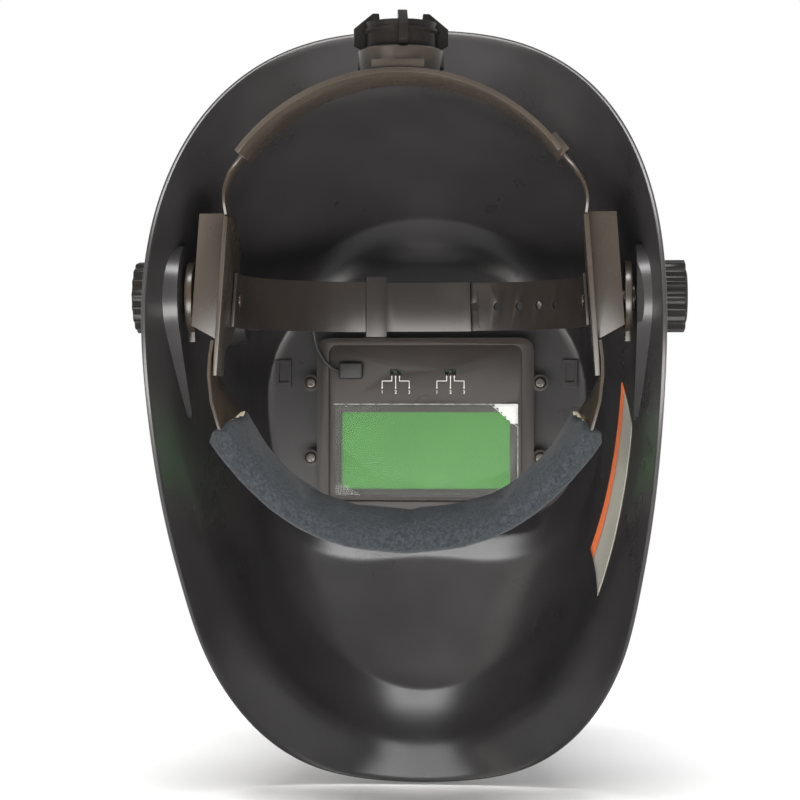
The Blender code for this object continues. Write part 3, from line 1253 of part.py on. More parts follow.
def build_ratchet(slide):
    """Housing on the nape plate, with the knob and pinion that draw the tails in."""
    centre = Matrix.Translation((0, NAPE_Y, 0))
    outer = NAPE_RADIUS + NAPE_THICKNESS / 2 + GAP
    middle_z = NAPE_CROWN - NAPE_RADIUS
    base = middle_z + math.sqrt(outer ** 2 - HOUSING_RADIUS ** 2) - 0.0005
    housing = piece(
        "ratchet_housing", cylinder(HOUSING_RADIUS, base, HOUSING_TOP, segments=40), HEADGEAR, slide, centre
    )
    bevel(housing, 0.0008, 1)
    foot = box(
        (-HOUSING_FOOT_WIDTH / 2, NAPE_Y - HOUSING_FOOT_DEPTH / 2, base),
        (HOUSING_FOOT_WIDTH / 2, NAPE_Y + HOUSING_FOOT_DEPTH / 2, base + HOUSING_FOOT_RISE),
    )
    join(housing, tool("housing_foot", foot))
    curve = cylinder(outer, -HOUSING_RADIUS * 2, HOUSING_RADIUS * 2, FACING_BACK, 96)
    cut(housing, tool("housing_seat", curve, Matrix.Translation((0, NAPE_Y, middle_z))))
    tail_top = NAPE_CROWN + NAPE_THICKNESS / 2 + 2 * GAP + TAIL_THICKNESS
    room = cylinder(HOUSING_RADIUS - HOUSING_WALL, 0, HOUSING_TOP - HOUSING_WALL, segments=32)
    cut(housing, tool("housing_room", room, centre))
    half = TAIL_WIDTH / 2 + 2 * GAP
    passage = box((-0.03, NAPE_Y - half, 0), (0.03, NAPE_Y + half, tail_top))
    cut(housing, tool("housing_passage", passage))
    shaft = cylinder(KNOB_SHAFT_RADIUS + GAP, 0, HOUSING_TOP + WALL, segments=20)
    cut(housing, tool("housing_shaft_hole", shaft, centre))

    axis = anchor("ratchet_axis", (0, NAPE_Y, HOUSING_TOP), slide)
    pinion_low = tail_top + GAP
    pinion_high = HOUSING_TOP - HOUSING_WALL - GAP
    knob_low = HOUSING_TOP + GAP
    line = profile([
        (0, KNOB_TOP - 0.0030), (KNOB_NECK_RADIUS - 0.0030, KNOB_TOP - 0.0030),
        (KNOB_NECK_RADIUS - 0.0020, KNOB_TOP), (KNOB_NECK_RADIUS, KNOB_TOP),
        (KNOB_NECK_RADIUS, KNOB_TOP - 0.0028), (KNOB_RIM_RADIUS, KNOB_TOP - 0.0032),
        (KNOB_RIM_RADIUS, KNOB_TOP - 0.0044), (KNOB_NECK_RADIUS, KNOB_TOP - 0.0052),
        (KNOB_NECK_RADIUS, knob_low), (KNOB_SHAFT_RADIUS, knob_low),
        (KNOB_SHAFT_RADIUS, pinion_high + GAP), (0, pinion_high + GAP),
    ])
    knob = piece("ratchet_knob", line, KNOB_PLASTIC, axis, centre)
    screw(knob, 32)
    fin = [
        (0.0090, KNOB_TOP - 0.0040), (0.0100, FIN_TOP), (0.0128, FIN_TOP),
        (FIN_RADIUS, FIN_TOP - 0.0070), (FIN_RADIUS, knob_low + 0.0020),
        (FIN_RADIUS - 0.0030, knob_low + 0.0004), (0.0120, knob_low + 0.0004),
    ]
    for number in range(FIN_COUNT):
        turn = Matrix.Rotation(math.radians(FIN_TURN - 90 + 360 / FIN_COUNT * number), 4, "Z")
        wing = tool("fin_%d" % number, flat([fin], FIN_THICKNESS), centre @ turn @ FACING_BACK)
        join(knob, wing)
    teeth = fluted(PINION_RADIUS, PINION_RADIUS * 0.72, PINION_TEETH)
    place = centre @ Matrix.Translation((0, 0, (pinion_low + pinion_high) / 2))
    piece("ratchet_pinion", flat([teeth], pinion_high - pinion_low), HEADGEAR, axis, place)

# ---------------------------------------------------------------- assembly

build_shell()
build_cover_lens()
build_holder()
build_holder_screws()
build_case()
build_cartridge_insides()
build_shade_control()
flip_axis = anchor("flip_axis", (0, 0, 0))
build_pivots(flip_axis)
cradle_path = anchor("cradle_path", (0, 0, 0), flip_axis)
for side_word, side_sign in sides():
    build_side_rail(side_word, side_sign, cradle_path)
    build_side_block(side_word, side_sign, cradle_path)
build_front_band(cradle_path)
build_sweatband(cradle_path)
build_crown_straps(cradle_path)
build_ratchet_tails(cradle_path)
nape_path = anchor("nape_path", (0, NAPE_Y, NAPE_CROWN), cradle_path)
build_nape_plate(nape_path)
build_ratchet(nape_path)
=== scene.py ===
"""Looks of an auto-darkening welding helmet, seen into its open back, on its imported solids.

Metres, +Z up. X points to the wearer's right and Y out through the face. The origin
lies midway between the two side pivots.
"""

import math
from collections import namedtuple

import bmesh
import bpy
from mathutils import Matrix, Vector
from mathutils.bvhtree import BVHTree


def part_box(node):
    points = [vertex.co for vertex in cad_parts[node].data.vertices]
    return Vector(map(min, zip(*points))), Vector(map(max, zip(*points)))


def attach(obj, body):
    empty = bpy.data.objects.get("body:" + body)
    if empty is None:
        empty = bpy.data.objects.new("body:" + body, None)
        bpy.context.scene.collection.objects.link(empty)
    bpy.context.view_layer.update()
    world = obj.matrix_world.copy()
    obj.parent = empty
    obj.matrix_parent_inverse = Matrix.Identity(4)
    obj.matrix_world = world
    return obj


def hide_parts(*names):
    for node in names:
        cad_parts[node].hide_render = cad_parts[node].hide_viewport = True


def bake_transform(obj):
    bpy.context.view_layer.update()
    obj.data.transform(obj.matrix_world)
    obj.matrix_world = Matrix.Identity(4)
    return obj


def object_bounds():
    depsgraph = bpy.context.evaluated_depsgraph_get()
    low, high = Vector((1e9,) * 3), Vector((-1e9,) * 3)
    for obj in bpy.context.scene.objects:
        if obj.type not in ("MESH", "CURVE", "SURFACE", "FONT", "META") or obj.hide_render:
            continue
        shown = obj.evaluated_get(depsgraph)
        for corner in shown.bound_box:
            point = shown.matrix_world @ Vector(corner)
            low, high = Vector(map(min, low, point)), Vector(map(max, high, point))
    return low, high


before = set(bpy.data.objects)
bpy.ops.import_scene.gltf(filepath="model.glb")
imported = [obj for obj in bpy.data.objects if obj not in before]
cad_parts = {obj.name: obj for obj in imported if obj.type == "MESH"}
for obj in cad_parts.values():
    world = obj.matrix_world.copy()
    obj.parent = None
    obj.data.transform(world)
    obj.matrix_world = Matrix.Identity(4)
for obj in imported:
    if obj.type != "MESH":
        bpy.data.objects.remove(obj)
cad_low, cad_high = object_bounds()

# ---------------------------------------------------------------- floor and surroundings
# A pale studio floor just under the chin, which keeps the shadow near the helmet and
# fades to the white of the surroundings further out.

FLOOR_Z = cad_low.z - 0.001
FLOOR_RADIUS = 1.6
FADE_START = 0.25
FADE_END = 0.95
PAPER_WHITE = (0.92, 0.92, 0.92, 1)
ROOM_LIGHT = 0.55
PURE_WHITE = (1, 1, 1, 1)


def seen_directly(tree):
    """One for rays from the camera, off gloss and through glass; zero for light that spreads."""
    path = tree.nodes.new("ShaderNodeLightPath")
    either = tree.nodes.new("ShaderNodeMath")
    either.operation = "MAXIMUM"
    seen = tree.nodes.new("ShaderNodeMath")
    seen.operation = "MAXIMUM"
    tree.links.new(path.outputs["Is Glossy Ray"], either.inputs[0])
    tree.links.new(path.outputs["Is Transmission Ray"], either.inputs[1])
    tree.links.new(path.outputs["Is Camera Ray"], seen.inputs[0])
    tree.links.new(either.outputs[0], seen.inputs[1])
    return seen.outputs[0]


floor_shape = bmesh.new()
bmesh.ops.create_circle(floor_shape, cap_ends=True, segments=96, radius=FLOOR_RADIUS)
floor_mesh = bpy.data.meshes.new("studio_floor")
floor_shape.to_mesh(floor_mesh)
floor_shape.free()
floor = bpy.data.objects.new("studio_floor", floor_mesh)
floor.location = (0, 0.05, FLOOR_Z)
bpy.context.scene.collection.objects.link(floor)

paper = bpy.data.materials.new("studio_paper")
paper.use_nodes = True
nodes = paper.node_tree.nodes
links = paper.node_tree.links
nodes.clear()
place = nodes.new("ShaderNodeTexCoord")
from_middle = nodes.new("ShaderNodeVectorMath")
from_middle.operation = "LENGTH"
fade = nodes.new("ShaderNodeMapRange")
fade.inputs["From Min"].default_value = FADE_START
fade.inputs["From Max"].default_value = FADE_END
fade.interpolation_type = "SMOOTHSTEP"
lit = nodes.new("ShaderNodeBsdfDiffuse")
lit.inputs["Color"].default_value = PAPER_WHITE
white = nodes.new("ShaderNodeEmission")
white.inputs["Color"].default_value = PURE_WHITE
far = nodes.new("ShaderNodeMixShader")
mix = nodes.new("ShaderNodeMixShader")
out = nodes.new("ShaderNodeOutputMaterial")
links.new(place.outputs["Object"], from_middle.inputs[0])
links.new(from_middle.outputs["Value"], fade.inputs["Value"])
links.new(seen_directly(paper.node_tree), far.inputs[0])
links.new(lit.outputs[0], far.inputs[1])
links.new(white.outputs[0], far.inputs[2])
links.new(fade.outputs[0], mix.inputs[0])
links.new(lit.outputs[0], mix.inputs[1])
links.new(far.outputs[0], mix.inputs[2])
links.new(mix.outputs[0], out.inputs["Surface"])
floor_mesh.materials.append(paper)

world = bpy.data.worlds.new("studio")
bpy.context.scene.world = world
world.use_nodes = True
nodes = world.node_tree.nodes
links = world.node_tree.links
nodes.clear()
room = nodes.new("ShaderNodeBackground")
room.inputs["Color"].default_value = PURE_WHITE
room.inputs["Strength"].default_value = ROOM_LIGHT
white = nodes.new("ShaderNodeBackground")
white.inputs["Color"].default_value = PURE_WHITE
white.inputs["Strength"].default_value = 1
mix = nodes.new("ShaderNodeMixShader")
out = nodes.new("ShaderNodeOutputWorld")
links.new(seen_directly(world.node_tree), mix.inputs[0])
links.new(room.outputs[0], mix.inputs[1])
links.new(white.outputs[0], mix.inputs[2])
links.new(mix.outputs[0], out.inputs["Surface"])

# ---------------------------------------------------------------- camera and lamps
# A long lens looks level into the open back, under a soft box, with a warm one behind the
# camera. Two lamps that the camera can't see stand for light off the table and a low card.

CAMERA_TURN = math.radians(3.85)
CAMERA_DISTANCE = 1.033
CAMERA_SIDE = -0.0043
CAMERA_RISE = -0.04935
SENSOR_WIDTH = 36
FOCAL_LENGTH = 97
HELMET_MIDDLE = (0, 0.05, -0.05)
LAMP_WARM = (1, 0.93, 0.84)
PAPER_WARM = (1, 0.97, 0.95)
ahead = Vector((-math.sin(CAMERA_TURN), math.cos(CAMERA_TURN), 0))
across = Vector((math.cos(CAMERA_TURN), math.sin(CAMERA_TURN), 0))
lens = bpy.data.cameras.new("camera")
lens.sensor_width = SENSOR_WIDTH
lens.lens = FOCAL_LENGTH
camera = bpy.data.objects.new("camera", lens)
camera.location = -CAMERA_DISTANCE * ahead + CAMERA_SIDE * across + Vector((0, 0, CAMERA_RISE))
camera.rotation_euler = (math.radians(90), 0, CAMERA_TURN)
bpy.context.scene.collection.objects.link(camera)
bpy.context.scene.camera = camera
bpy.context.scene.view_settings.view_transform = "Standard"


def soft_box(name, location, target, width, height, watts, colour=(1, 1, 1)):
    """A rectangular lamp aimed at a target."""
    lamp = bpy.data.lights.new(name, "AREA")
    lamp.color = colour
    lamp.shape = "RECTANGLE"
    lamp.size = width
    lamp.size_y = height
    lamp.energy = watts
    holder = bpy.data.objects.new(name, lamp)
    holder.location = location
    aim = Vector(target) - Vector(location)
    holder.rotation_euler = aim.to_track_quat("-Z", "Y").to_euler()
    bpy.context.scene.collection.objects.link(holder)
    return holder


soft_box("overhead_box", (0, -0.57, 1.13), HELMET_MIDDLE, 0.95, 0.34, 31)
soft_box("fill_box", (-1.0, -1.5, 0.75), HELMET_MIDDLE, 1.0, 0.9, 6, LAMP_WARM)
table_place = (0, -0.35, FLOOR_Z + 0.006)
table_bounce = soft_box("table_bounce", table_place, (0, -0.30, 0.60), 0.9, 0.45, 24, PAPER_WARM)
table_bounce.visible_camera = False
low_card = soft_box("low_card", (0, -0.52, -0.18), (0, 0.15, 0.03), 0.7, 0.12, 1.6, PAPER_WARM)
low_card.visible_camera = False

# ---------------------------------------------------------------- moulded shell
# Injection-moulded black nylon about 2.2 mm thick, satin inside from the polished
# core of its mould. The pivots and the shade control sit on flats formed in the wall.

Outline = namedtuple(
    "Outline",
    "half_width top middle bottom power_up power_down y_top y_side y_bottom notch crease",
)
WALL = 0.0022
FRONT_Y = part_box("shell")[1].y - WALL / 2
GOGGLE_MIDDLE = -0.045
cover_low, cover_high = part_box("outer_cover_lens")
WINDOW_INSET = 0.006
RIM = Outline(0.1200, 0.1315, -0.018, -0.2490, 2.60, 2.95, 0.020, -0.058, 0.090, 0, 0)
FLARE = Outline(0.1160, 0.1060, -0.010, -0.2325, 2.35, 2.2, 0.048, -0.024, 0.103, 0, 0.35)
SIDE = Outline(0.1120, 0.1000, -0.020, -0.2235, 2.3, 2.2, 0.074, 0.030, 0.113, 0, 0)
SHOULDER = Outline(0.1070, 0.0855, -0.030, -0.2140, 2.2, 2.1, 0.103, 0.075, 0.121, 0, 0)
CHEEK = Outline(0.0995, 0.0655, GOGGLE_MIDDLE, -0.2050, 2.1, 2.0, 0.128, 0.112, 0.127, 0, 0.85)
MOUTH = Outline(0.0970, 0.0510, GOGGLE_MIDDLE, -0.1420, 2.0, 2.9, 0.145, 0.129, 0.1425, 0.0075, 0.9)
COVE = Outline(0.0925, 0.0380, GOGGLE_MIDDLE, -0.1290, 2.0, 2.9, 0.1515, 0.145, 0.150, 0.0055, 0)
GOGGLE = Outline(
    0.0885, 0.0240, GOGGLE_MIDDLE, -0.1215, 2.0, 3.0, FRONT_Y, FRONT_Y, FRONT_Y, 0.005, 0.5
)
WINDOW = Outline(
    cover_high.x - WINDOW_INSET,
    cover_high.z - WINDOW_INSET,
    (cover_low.z + cover_high.z) / 2,
    cover_low.z + WINDOW_INSET,
    9, 9, FRONT_Y, FRONT_Y, FRONT_Y, 0, 0,
)
OUTLINES = (RIM, FLARE, SIDE, SHOULDER, CHEEK, MOUTH, COVE, GOGGLE, WINDOW)
WAIST_INSET = 0.0036
WAIST_Z = -0.125
WAIST_HALF_LENGTH = 0.065
SWEEP_EASE = 0.25
NOTCH_HALF_WIDTH = 0.022
SHELL_COLUMNS = 16
SHELL_LEVELS = 3
PIVOT_SEAT_X = 0.1080
PIVOT_SEAT = ((0, 0, 0.0245), (0.0240, -0.0520, 0.0070))
SHADE_SEAT_X = 0.0915
SHADE_SEAT = ((0.1000, -0.0040, 0.0155),)
SEAT_DRAFT = 0.0030
SEAT_REACH = 0.020
RIM_EDGE = 0.0007


def mesh_of(shape, name="shape"):
    """Turns a bmesh into a mesh and lets go of it."""
    mesh = bpy.data.meshes.new(name)
    shape.to_mesh(mesh)
    shape.free()
    return mesh


def show(name, mesh, body=None, material=None):
    """A piece of the helmet, riding on one of its bodies."""
    thing = bpy.data.objects.new(name, mesh)
    bpy.context.scene.collection.objects.link(thing)
    if material is not None:
        mesh.materials.clear()
        mesh.materials.append(material)
    if body is not None:
        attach(thing, body)
    return thing


def settled(thing):
    """The mesh of a piece with its modifiers applied; the piece itself is removed."""
    graph = bpy.context.evaluated_depsgraph_get()
    mesh = bpy.data.meshes.new_from_object(thing.evaluated_get(graph))
    bpy.data.objects.remove(thing)
    return mesh


def outline_points(outline):
    """The right half of an outline, from its top to its bottom."""
    points = []
    for column in range(SHELL_COLUMNS + 1):
        turn = math.pi * (0.5 - column / SHELL_COLUMNS)
        side = max(math.cos(turn), 0)
        if column in (0, SHELL_COLUMNS):
            side = 0
        up = math.sin(turn)
        if up >= 0:
            power, y_end = outline.power_up, outline.y_top
            reach = outline.top - outline.middle
        else:
            power, y_end = outline.power_down, outline.y_bottom
            reach = outline.middle - outline.bottom
        rise = math.copysign(abs(up) ** (2 / power), up)
        x = outline.half_width * side ** (2 / power)
        sweep = math.hypot(rise, SWEEP_EASE) - SWEEP_EASE
        sweep /= math.hypot(1, SWEEP_EASE) - SWEEP_EASE
        y = outline.y_side + (y_end - outline.y_side) * sweep
        z = outline.middle + reach * rise
        if up < 0:
            z += outline.notch * math.exp(-((x / NOTCH_HALF_WIDTH) ** 2))
        if outline is RIM:
            below_ear = min(abs(z - WAIST_Z) / WAIST_HALF_LENGTH, 1)
            x -= WAIST_INSET * math.cos(math.pi / 2 * below_ear) ** 2
        points.append((x, y, z))
    return points


def shell_surface(levels):
    """The middle surface of the shell's wall, from the rim to the window."""
    shape = bmesh.new()
    creases = shape.edges.layers.float.new("crease_edge")
    rings = [[shape.verts.new(point) for point in outline_points(outline)] for outline in OUTLINES]
    for first, second in zip(rings, rings[1:]):
        for here in range(SHELL_COLUMNS):
            shape.faces.new((first[here], second[here], second[here + 1], first[here + 1]))
    for ring, outline in zip(rings, OUTLINES):
        for first, second in zip(ring, ring[1:]):
            shape.edges.get((first, second))[creases] = outline.crease
    half = show("shell_surface", mesh_of(shape))
    mirror = half.modifiers.new("Mirror", "MIRROR")
    mirror.merge_threshold = 0.00001
    soften = half.modifiers.new("Subdivision", "SUBSURF")
    soften.levels = levels
    soften.render_levels = levels
    return settled(half)


def wrap(circles, count=96):
    """The outline of a belt stretched round circles given as (x, y, radius)."""
    points = []
    for step in range(count):
        turn = 2 * math.pi * step / count
        side = math.cos(turn)
        up = math.sin(turn)
        x, y, radius = max(circles, key=lambda c: c[0] * side + c[1] * up + c[2])
        points.append((x + radius * side, y + radius * up))
    return points


def loft(loops):
    """A solid through loops that have the same number of points."""
    shape = bmesh.new()
    rings = [[shape.verts.new(point) for point in loop] for loop in loops]
    for first, second in zip(rings, rings[1:]):
        for here in range(len(first)):
            after = (here + 1) % len(first)
            shape.faces.new((first[here], first[after], second[after], second[here]))
    shape.faces.new(reversed(rings[0]))
    shape.faces.new(rings[-1])
    bmesh.ops.recalc_face_normals(shape, faces=shape.faces)
    return shape


def combine(thing, mesh, operation):
    """Joins a shape to a piece or cuts it away, for good."""
    other = show("cutter", mesh)
    step = thing.modifiers.new("Boolean", "BOOLEAN")
    step.operation = operation
    step.solver = "EXACT"
    step.object = other
    graph = bpy.context.evaluated_depsgraph_get()
    mesh = bpy.data.meshes.new_from_object(thing.evaluated_get(graph))
    thing.modifiers.clear()
    thing.data = mesh
    bpy.data.objects.remove(other)


def seat_plug(circles, side, inner_x, outer_x, inset):
    """The room behind a flat seat in the shell's wall; its sides lean by the mould's draft."""
    loops = []
    for x, extra in ((inner_x, 0), (outer_x, SEAT_DRAFT)):
        ring = [(y, z, radius - inset + extra) for y, z, radius in circles]
        loops.append([(side * x, y, z) for y, z in wrap(ring)])
    return mesh_of(loft(loops))


def drum(radius, low, high, matrix=None, segments=48):
    """A cylinder along local Z, from low to high."""
    shape = bmesh.new()
    bmesh.ops.create_cone(
        shape, cap_ends=True, segments=segments, radius1=radius, radius2=radius, depth=high - low,
        matrix=(matrix or Matrix()) @ Matrix.Translation((0, 0, (low + high) / 2)),
    )
    return mesh_of(shape)


def towards_x(side):
    """Turns local Z to point outwards, to the wearer's right or left."""
    return Matrix.Rotation(math.radians(90 * side), 4, "Y")


def smooth_shading(thing, angle):
    """Smooth shading, but for edges sharper than the angle."""
    thing.data.shade_smooth()
    thing.data.set_sharp_from_angle(angle=math.radians(angle))


def moulded_plastic(name, colour, roughness, grain_size, grain_depth, mottling=0.25, specular=0.5):
    """Moulded plastic: an even colour, fine grain from the mould and slightly uneven gloss."""
    gloss_spread = 0.06
    material = bpy.data.materials.new(name)
    material.use_nodes = True
    nodes = material.node_tree.nodes
    links = material.node_tree.links
    shader = nodes["Principled BSDF"]
    shader.inputs["Specular IOR Level"].default_value = specular
    place = nodes.new("ShaderNodeTexCoord")
    grain = nodes.new("ShaderNodeTexNoise")
    grain.inputs["Scale"].default_value = 1 / grain_size
    grain.inputs["Detail"].default_value = 3
    links.new(place.outputs["Object"], grain.inputs["Vector"])
    bump = nodes.new("ShaderNodeBump")
    bump.inputs["Strength"].default_value = 0.6
    bump.inputs["Distance"].default_value = grain_depth
    links.new(grain.outputs["Fac"], bump.inputs["Height"])
    links.new(bump.outputs["Normal"], shader.inputs["Normal"])
    patches = nodes.new("ShaderNodeTexNoise")
    patches.inputs["Scale"].default_value = 24
    patches.inputs["Detail"].default_value = 4
    links.new(place.outputs["Object"], patches.inputs["Vector"])
    shade = nodes.new("ShaderNodeMapRange")
    shade.inputs["From Min"].default_value = 0.3
    shade.inputs["From Max"].default_value = 0.7
    shade.inputs["To Min"].default_value = 1 - mottling
    shade.inputs["To Max"].default_value = 1 + mottling
    links.new(patches.outputs["Fac"], shade.inputs["Value"])
    tint = nodes.new("ShaderNodeVectorMath")
    tint.operation = "SCALE"
    tint.inputs[0].default_value = colour
    links.new(shade.outputs["Result"], tint.inputs["Scale"])
    links.new(tint.outputs["Vector"], shader.inputs["Base Color"])
    gloss = nodes.new("ShaderNodeMapRange")
    gloss.inputs["To Min"].default_value = roughness - gloss_spread
    gloss.inputs["To Max"].default_value = roughness + gloss_spread
    links.new(patches.outputs["Fac"], gloss.inputs["Value"])
    links.new(gloss.outputs["Result"], shader.inputs["Roughness"])
    return material


shell_nylon = moulded_plastic(
    "shell_nylon", (0.0160, 0.0152, 0.0156), roughness=0.29,
    grain_size=0.0006, grain_depth=0.00004, mottling=0.2, specular=0.26,
)

surface = shell_surface(SHELL_LEVELS)
hull_shape = bmesh.new()
hull_shape.from_mesh(surface)
open_edges = [edge for edge in hull_shape.edges if edge.is_boundary]
bmesh.ops.holes_fill(hull_shape, edges=open_edges, sides=0)
bmesh.ops.recalc_face_normals(hull_shape, faces=hull_shape.faces)
hull = mesh_of(hull_shape, "shell_hull")
shell = show("helmet_shell", surface)
wall = shell.modifiers.new("Solidify", "SOLIDIFY")
wall.thickness = WALL
wall.offset = 0
wall.use_even_offset = True
soft_rim = shell.modifiers.new("Bevel", "BEVEL")
soft_rim.width = RIM_EDGE
soft_rim.segments = 2
soft_rim.limit_method = "ANGLE"
soft_rim.angle_limit = math.radians(60)
shell_mesh = settled(shell)
shell = show("helmet_shell", shell_mesh)
for circles, side, seat_x in (
    (PIVOT_SEAT, 1, PIVOT_SEAT_X),
    (PIVOT_SEAT, -1, PIVOT_SEAT_X),
    (SHADE_SEAT, -1, SHADE_SEAT_X),
):
    plug = show("plug", seat_plug(circles, side, seat_x, seat_x + SEAT_REACH, 0))
    combine(plug, hull.copy(), "INTERSECT")
    plug_mesh = plug.data
    bpy.data.objects.remove(plug)
    combine(shell, plug_mesh, "UNION")
    outer_x = seat_x + WALL
    combine(shell, seat_plug(circles, side, outer_x, outer_x + SEAT_REACH, WALL), "DIFFERENCE")


def pierce(seat_x, radius, place):
    """Drills a round hole through the floor of a seat."""
    combine(shell, drum(radius, seat_x - WALL, seat_x + 3 * WALL, place), "DIFFERENCE")


BOLT_HOLE_RADIUS = 0.0033
BUSH_HOLE_RADIUS = 0.0038
SHADE_CENTRE = Vector((0, SHADE_SEAT[0][0], SHADE_SEAT[0][1]))
for side in (1, -1):
    pierce(PIVOT_SEAT_X, BOLT_HOLE_RADIUS, towards_x(side))
pierce(SHADE_SEAT_X, BUSH_HOLE_RADIUS, Matrix.Translation(SHADE_CENTRE) @ towards_x(-1))


def along_y(x, z):
    """Local Z points back at the wearer, from a place on the front of the shell."""
    return Matrix.Translation((x, 0, z)) @ Matrix.Rotation(math.radians(90), 4, "X")


def block(low, high):
    """A box between two corners."""
    shape = bmesh.new()
    bmesh.ops.create_cube(shape, size=1)
    for corner in shape.verts:
        corner.co = [a + (b - a) * (c + 0.5) for a, b, c in zip(low, high, corner.co)]
    return mesh_of(shape)


BOSS_RADIUS = 0.0040
EAR_DEPTH = 0.0035
boss_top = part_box("adf_holder_frame")[0].y + EAR_DEPTH
for number in range(1, 5):
    screw_low, screw_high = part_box("holder_screw_%d" % number)
    middle = (screw_low + screw_high) / 2
    combine(shell, drum(BOSS_RADIUS, -FRONT_Y, -boss_top, along_y(middle.x, middle.z), 32), "UNION")
CATCH_X = 0.0785
CATCH_Z = -0.0350
CATCH_SIZE = (0.0080, 0.0035, 0.0150)
POCKET_SIDE = 0.0014
POCKET_FOOT = 0.0028
POCKET_HEAD = 0.0016
POCKET_DEPTH = 0.0028
catch_low = FRONT_Y - WALL / 2 - CATCH_SIZE[1]
for side in (1, -1):
    x = side * CATCH_X
    half = CATCH_SIZE[0] / 2
    tall = CATCH_SIZE[2] / 2
    catch = block((x - half, catch_low, CATCH_Z - tall), (x + half, FRONT_Y, CATCH_Z + tall))
    combine(shell, catch, "UNION")
    pocket_low = (x - half + POCKET_SIDE, catch_low - 0.001, CATCH_Z - tall + POCKET_FOOT)
    pocket_high = (x + half - POCKET_SIDE, catch_low + POCKET_DEPTH, CATCH_Z + tall - POCKET_HEAD)
    combine(shell, block(pocket_low, pocket_high), "DIFFERENCE")
smooth_shading(shell, 32)
shell.data.materials.clear()
shell.data.materials.append(shell_nylon)
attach(shell, "shell")
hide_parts("shell")

# ---------------------------------------------------------------- cartridge holder and case
# The holder is a moulded frame with four ears, screwed to bosses in the shell. It
# clamps the cartridge, whose two-part case is moulded with a fine spark-eroded grain.


def edge_smoothing(angle):
    """A modifier's node group: smooth shading, but for edges sharper than the angle."""
    group = bpy.data.node_groups.new("smooth_%d" % round(angle), "GeometryNodeTree")
    group.interface.new_socket("Geometry", in_out="INPUT", socket_type="NodeSocketGeometry")
    group.interface.new_socket("Geometry", in_out="OUTPUT", socket_type="NodeSocketGeometry")
    start = group.nodes.new("NodeGroupInput")
    end = group.nodes.new("NodeGroupOutput")
    faces = group.nodes.new("GeometryNodeSetShadeSmooth")
    faces.domain = "FACE"
    edges = group.nodes.new("GeometryNodeSetShadeSmooth")
    edges.domain = "EDGE"
    edges.inputs["Shade Smooth"].default_value = False
    bend = group.nodes.new("GeometryNodeInputMeshEdgeAngle")
    sharper = group.nodes.new("FunctionNodeCompare")
    sharper.operation = "GREATER_THAN"
    sharper.inputs[1].default_value = math.radians(angle)
    group.links.new(bend.outputs["Unsigned Angle"], sharper.inputs[0])
    group.links.new(start.outputs[0], faces.inputs["Geometry"])
    group.links.new(faces.outputs[0], edges.inputs["Geometry"])
    group.links.new(sharper.outputs[0], edges.inputs["Selection"])
    group.links.new(edges.outputs[0], end.inputs[0])
    return group


EDGE_ANGLE = 38
soft_edges = edge_smoothing(EDGE_ANGLE)


def rounded(thing, edge, segments):
    """The small radius that a mould leaves along a piece's edges."""
    weld = thing.modifiers.new("Weld", "WELD")
    weld.merge_threshold = 0.00001
    flats = thing.modifiers.new("Flats", "DECIMATE")
    flats.decimate_type = "DISSOLVE"
    flats.angle_limit = math.radians(0.5)
    if edge > 0:
        rounding = thing.modifiers.new("Bevel", "BEVEL")
        rounding.width = edge
        rounding.segments = segments
        rounding.limit_method = "ANGLE"
        rounding.angle_limit = math.radians(EDGE_ANGLE)
    smoothing = thing.modifiers.new("Smooth", "NODES")
    smoothing.node_group = soft_edges


def dress(node, material, edge=0.0003, segments=2):
    """Gives a solid of the frame its finish and its soft edges."""
    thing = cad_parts[node]
    thing.data.materials.clear()
    thing.data.materials.append(material)
    rounded(thing, edge, segments)
    return thing


case_plastic = moulded_plastic(
    "case_plastic", (0.021, 0.0175, 0.0155), roughness=0.44,
    grain_size=0.0005, grain_depth=0.00006, mottling=0.2, specular=0.22,
)
dress("adf_holder_frame", case_plastic, 0.0006, 3)
dress("adf_case_rear", case_plastic, 0.0004, 2)
dress("adf_case_front", case_plastic, 0.0002, 1)
case_back_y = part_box("adf_case_rear")[0].y

# ---------------------------------------------------------------- holder screws
# Black-oxide self-tapping screws with pan heads and a cross recess, each left at its
# own angle by the driver.


def plain_material(name, colour, roughness, metallic=0.0, transmission=0.0, ior=1.5):
    """An even finish without grain: metal, glass, ink or lacquer."""
    material = bpy.data.materials.new(name)
    material.use_nodes = True
    shader = material.node_tree.nodes["Principled BSDF"]
    shader.inputs["Base Color"].default_value = (*colour, 1)
    shader.inputs["Roughness"].default_value = roughness
    shader.inputs["Metallic"].default_value = metallic
    shader.inputs["Transmission Weight"].default_value = transmission
    shader.inputs["IOR"].default_value = ior
    return material


def streaked(material, amount, size, stretch=(1, 1, 1)):
    """Varies a finish's gloss in fine streaks or smudges, as handling and moulding leave."""
    nodes = material.node_tree.nodes
    links = material.node_tree.links
    shader = nodes["Principled BSDF"]
    base = shader.inputs["Roughness"].default_value
    place = nodes.new("ShaderNodeTexCoord")
    run = nodes.new("ShaderNodeMapping")
    run.inputs["Scale"].default_value = stretch
    smudge = nodes.new("ShaderNodeTexNoise")
    smudge.inputs["Scale"].default_value = 1 / size
    smudge.inputs["Detail"].default_value = 4
    spread = nodes.new("ShaderNodeMapRange")
    spread.inputs["From Min"].default_value = 0.35
    spread.inputs["From Max"].default_value = 0.75
    spread.inputs["To Min"].default_value = base
    spread.inputs["To Max"].default_value = base + amount
    links.new(place.outputs["Object"], run.inputs["Vector"])
    links.new(run.outputs["Vector"], smudge.inputs["Vector"])
    links.new(smudge.outputs["Fac"], spread.inputs["Value"])
    links.new(spread.outputs["Result"], shader.inputs["Roughness"])
    return material


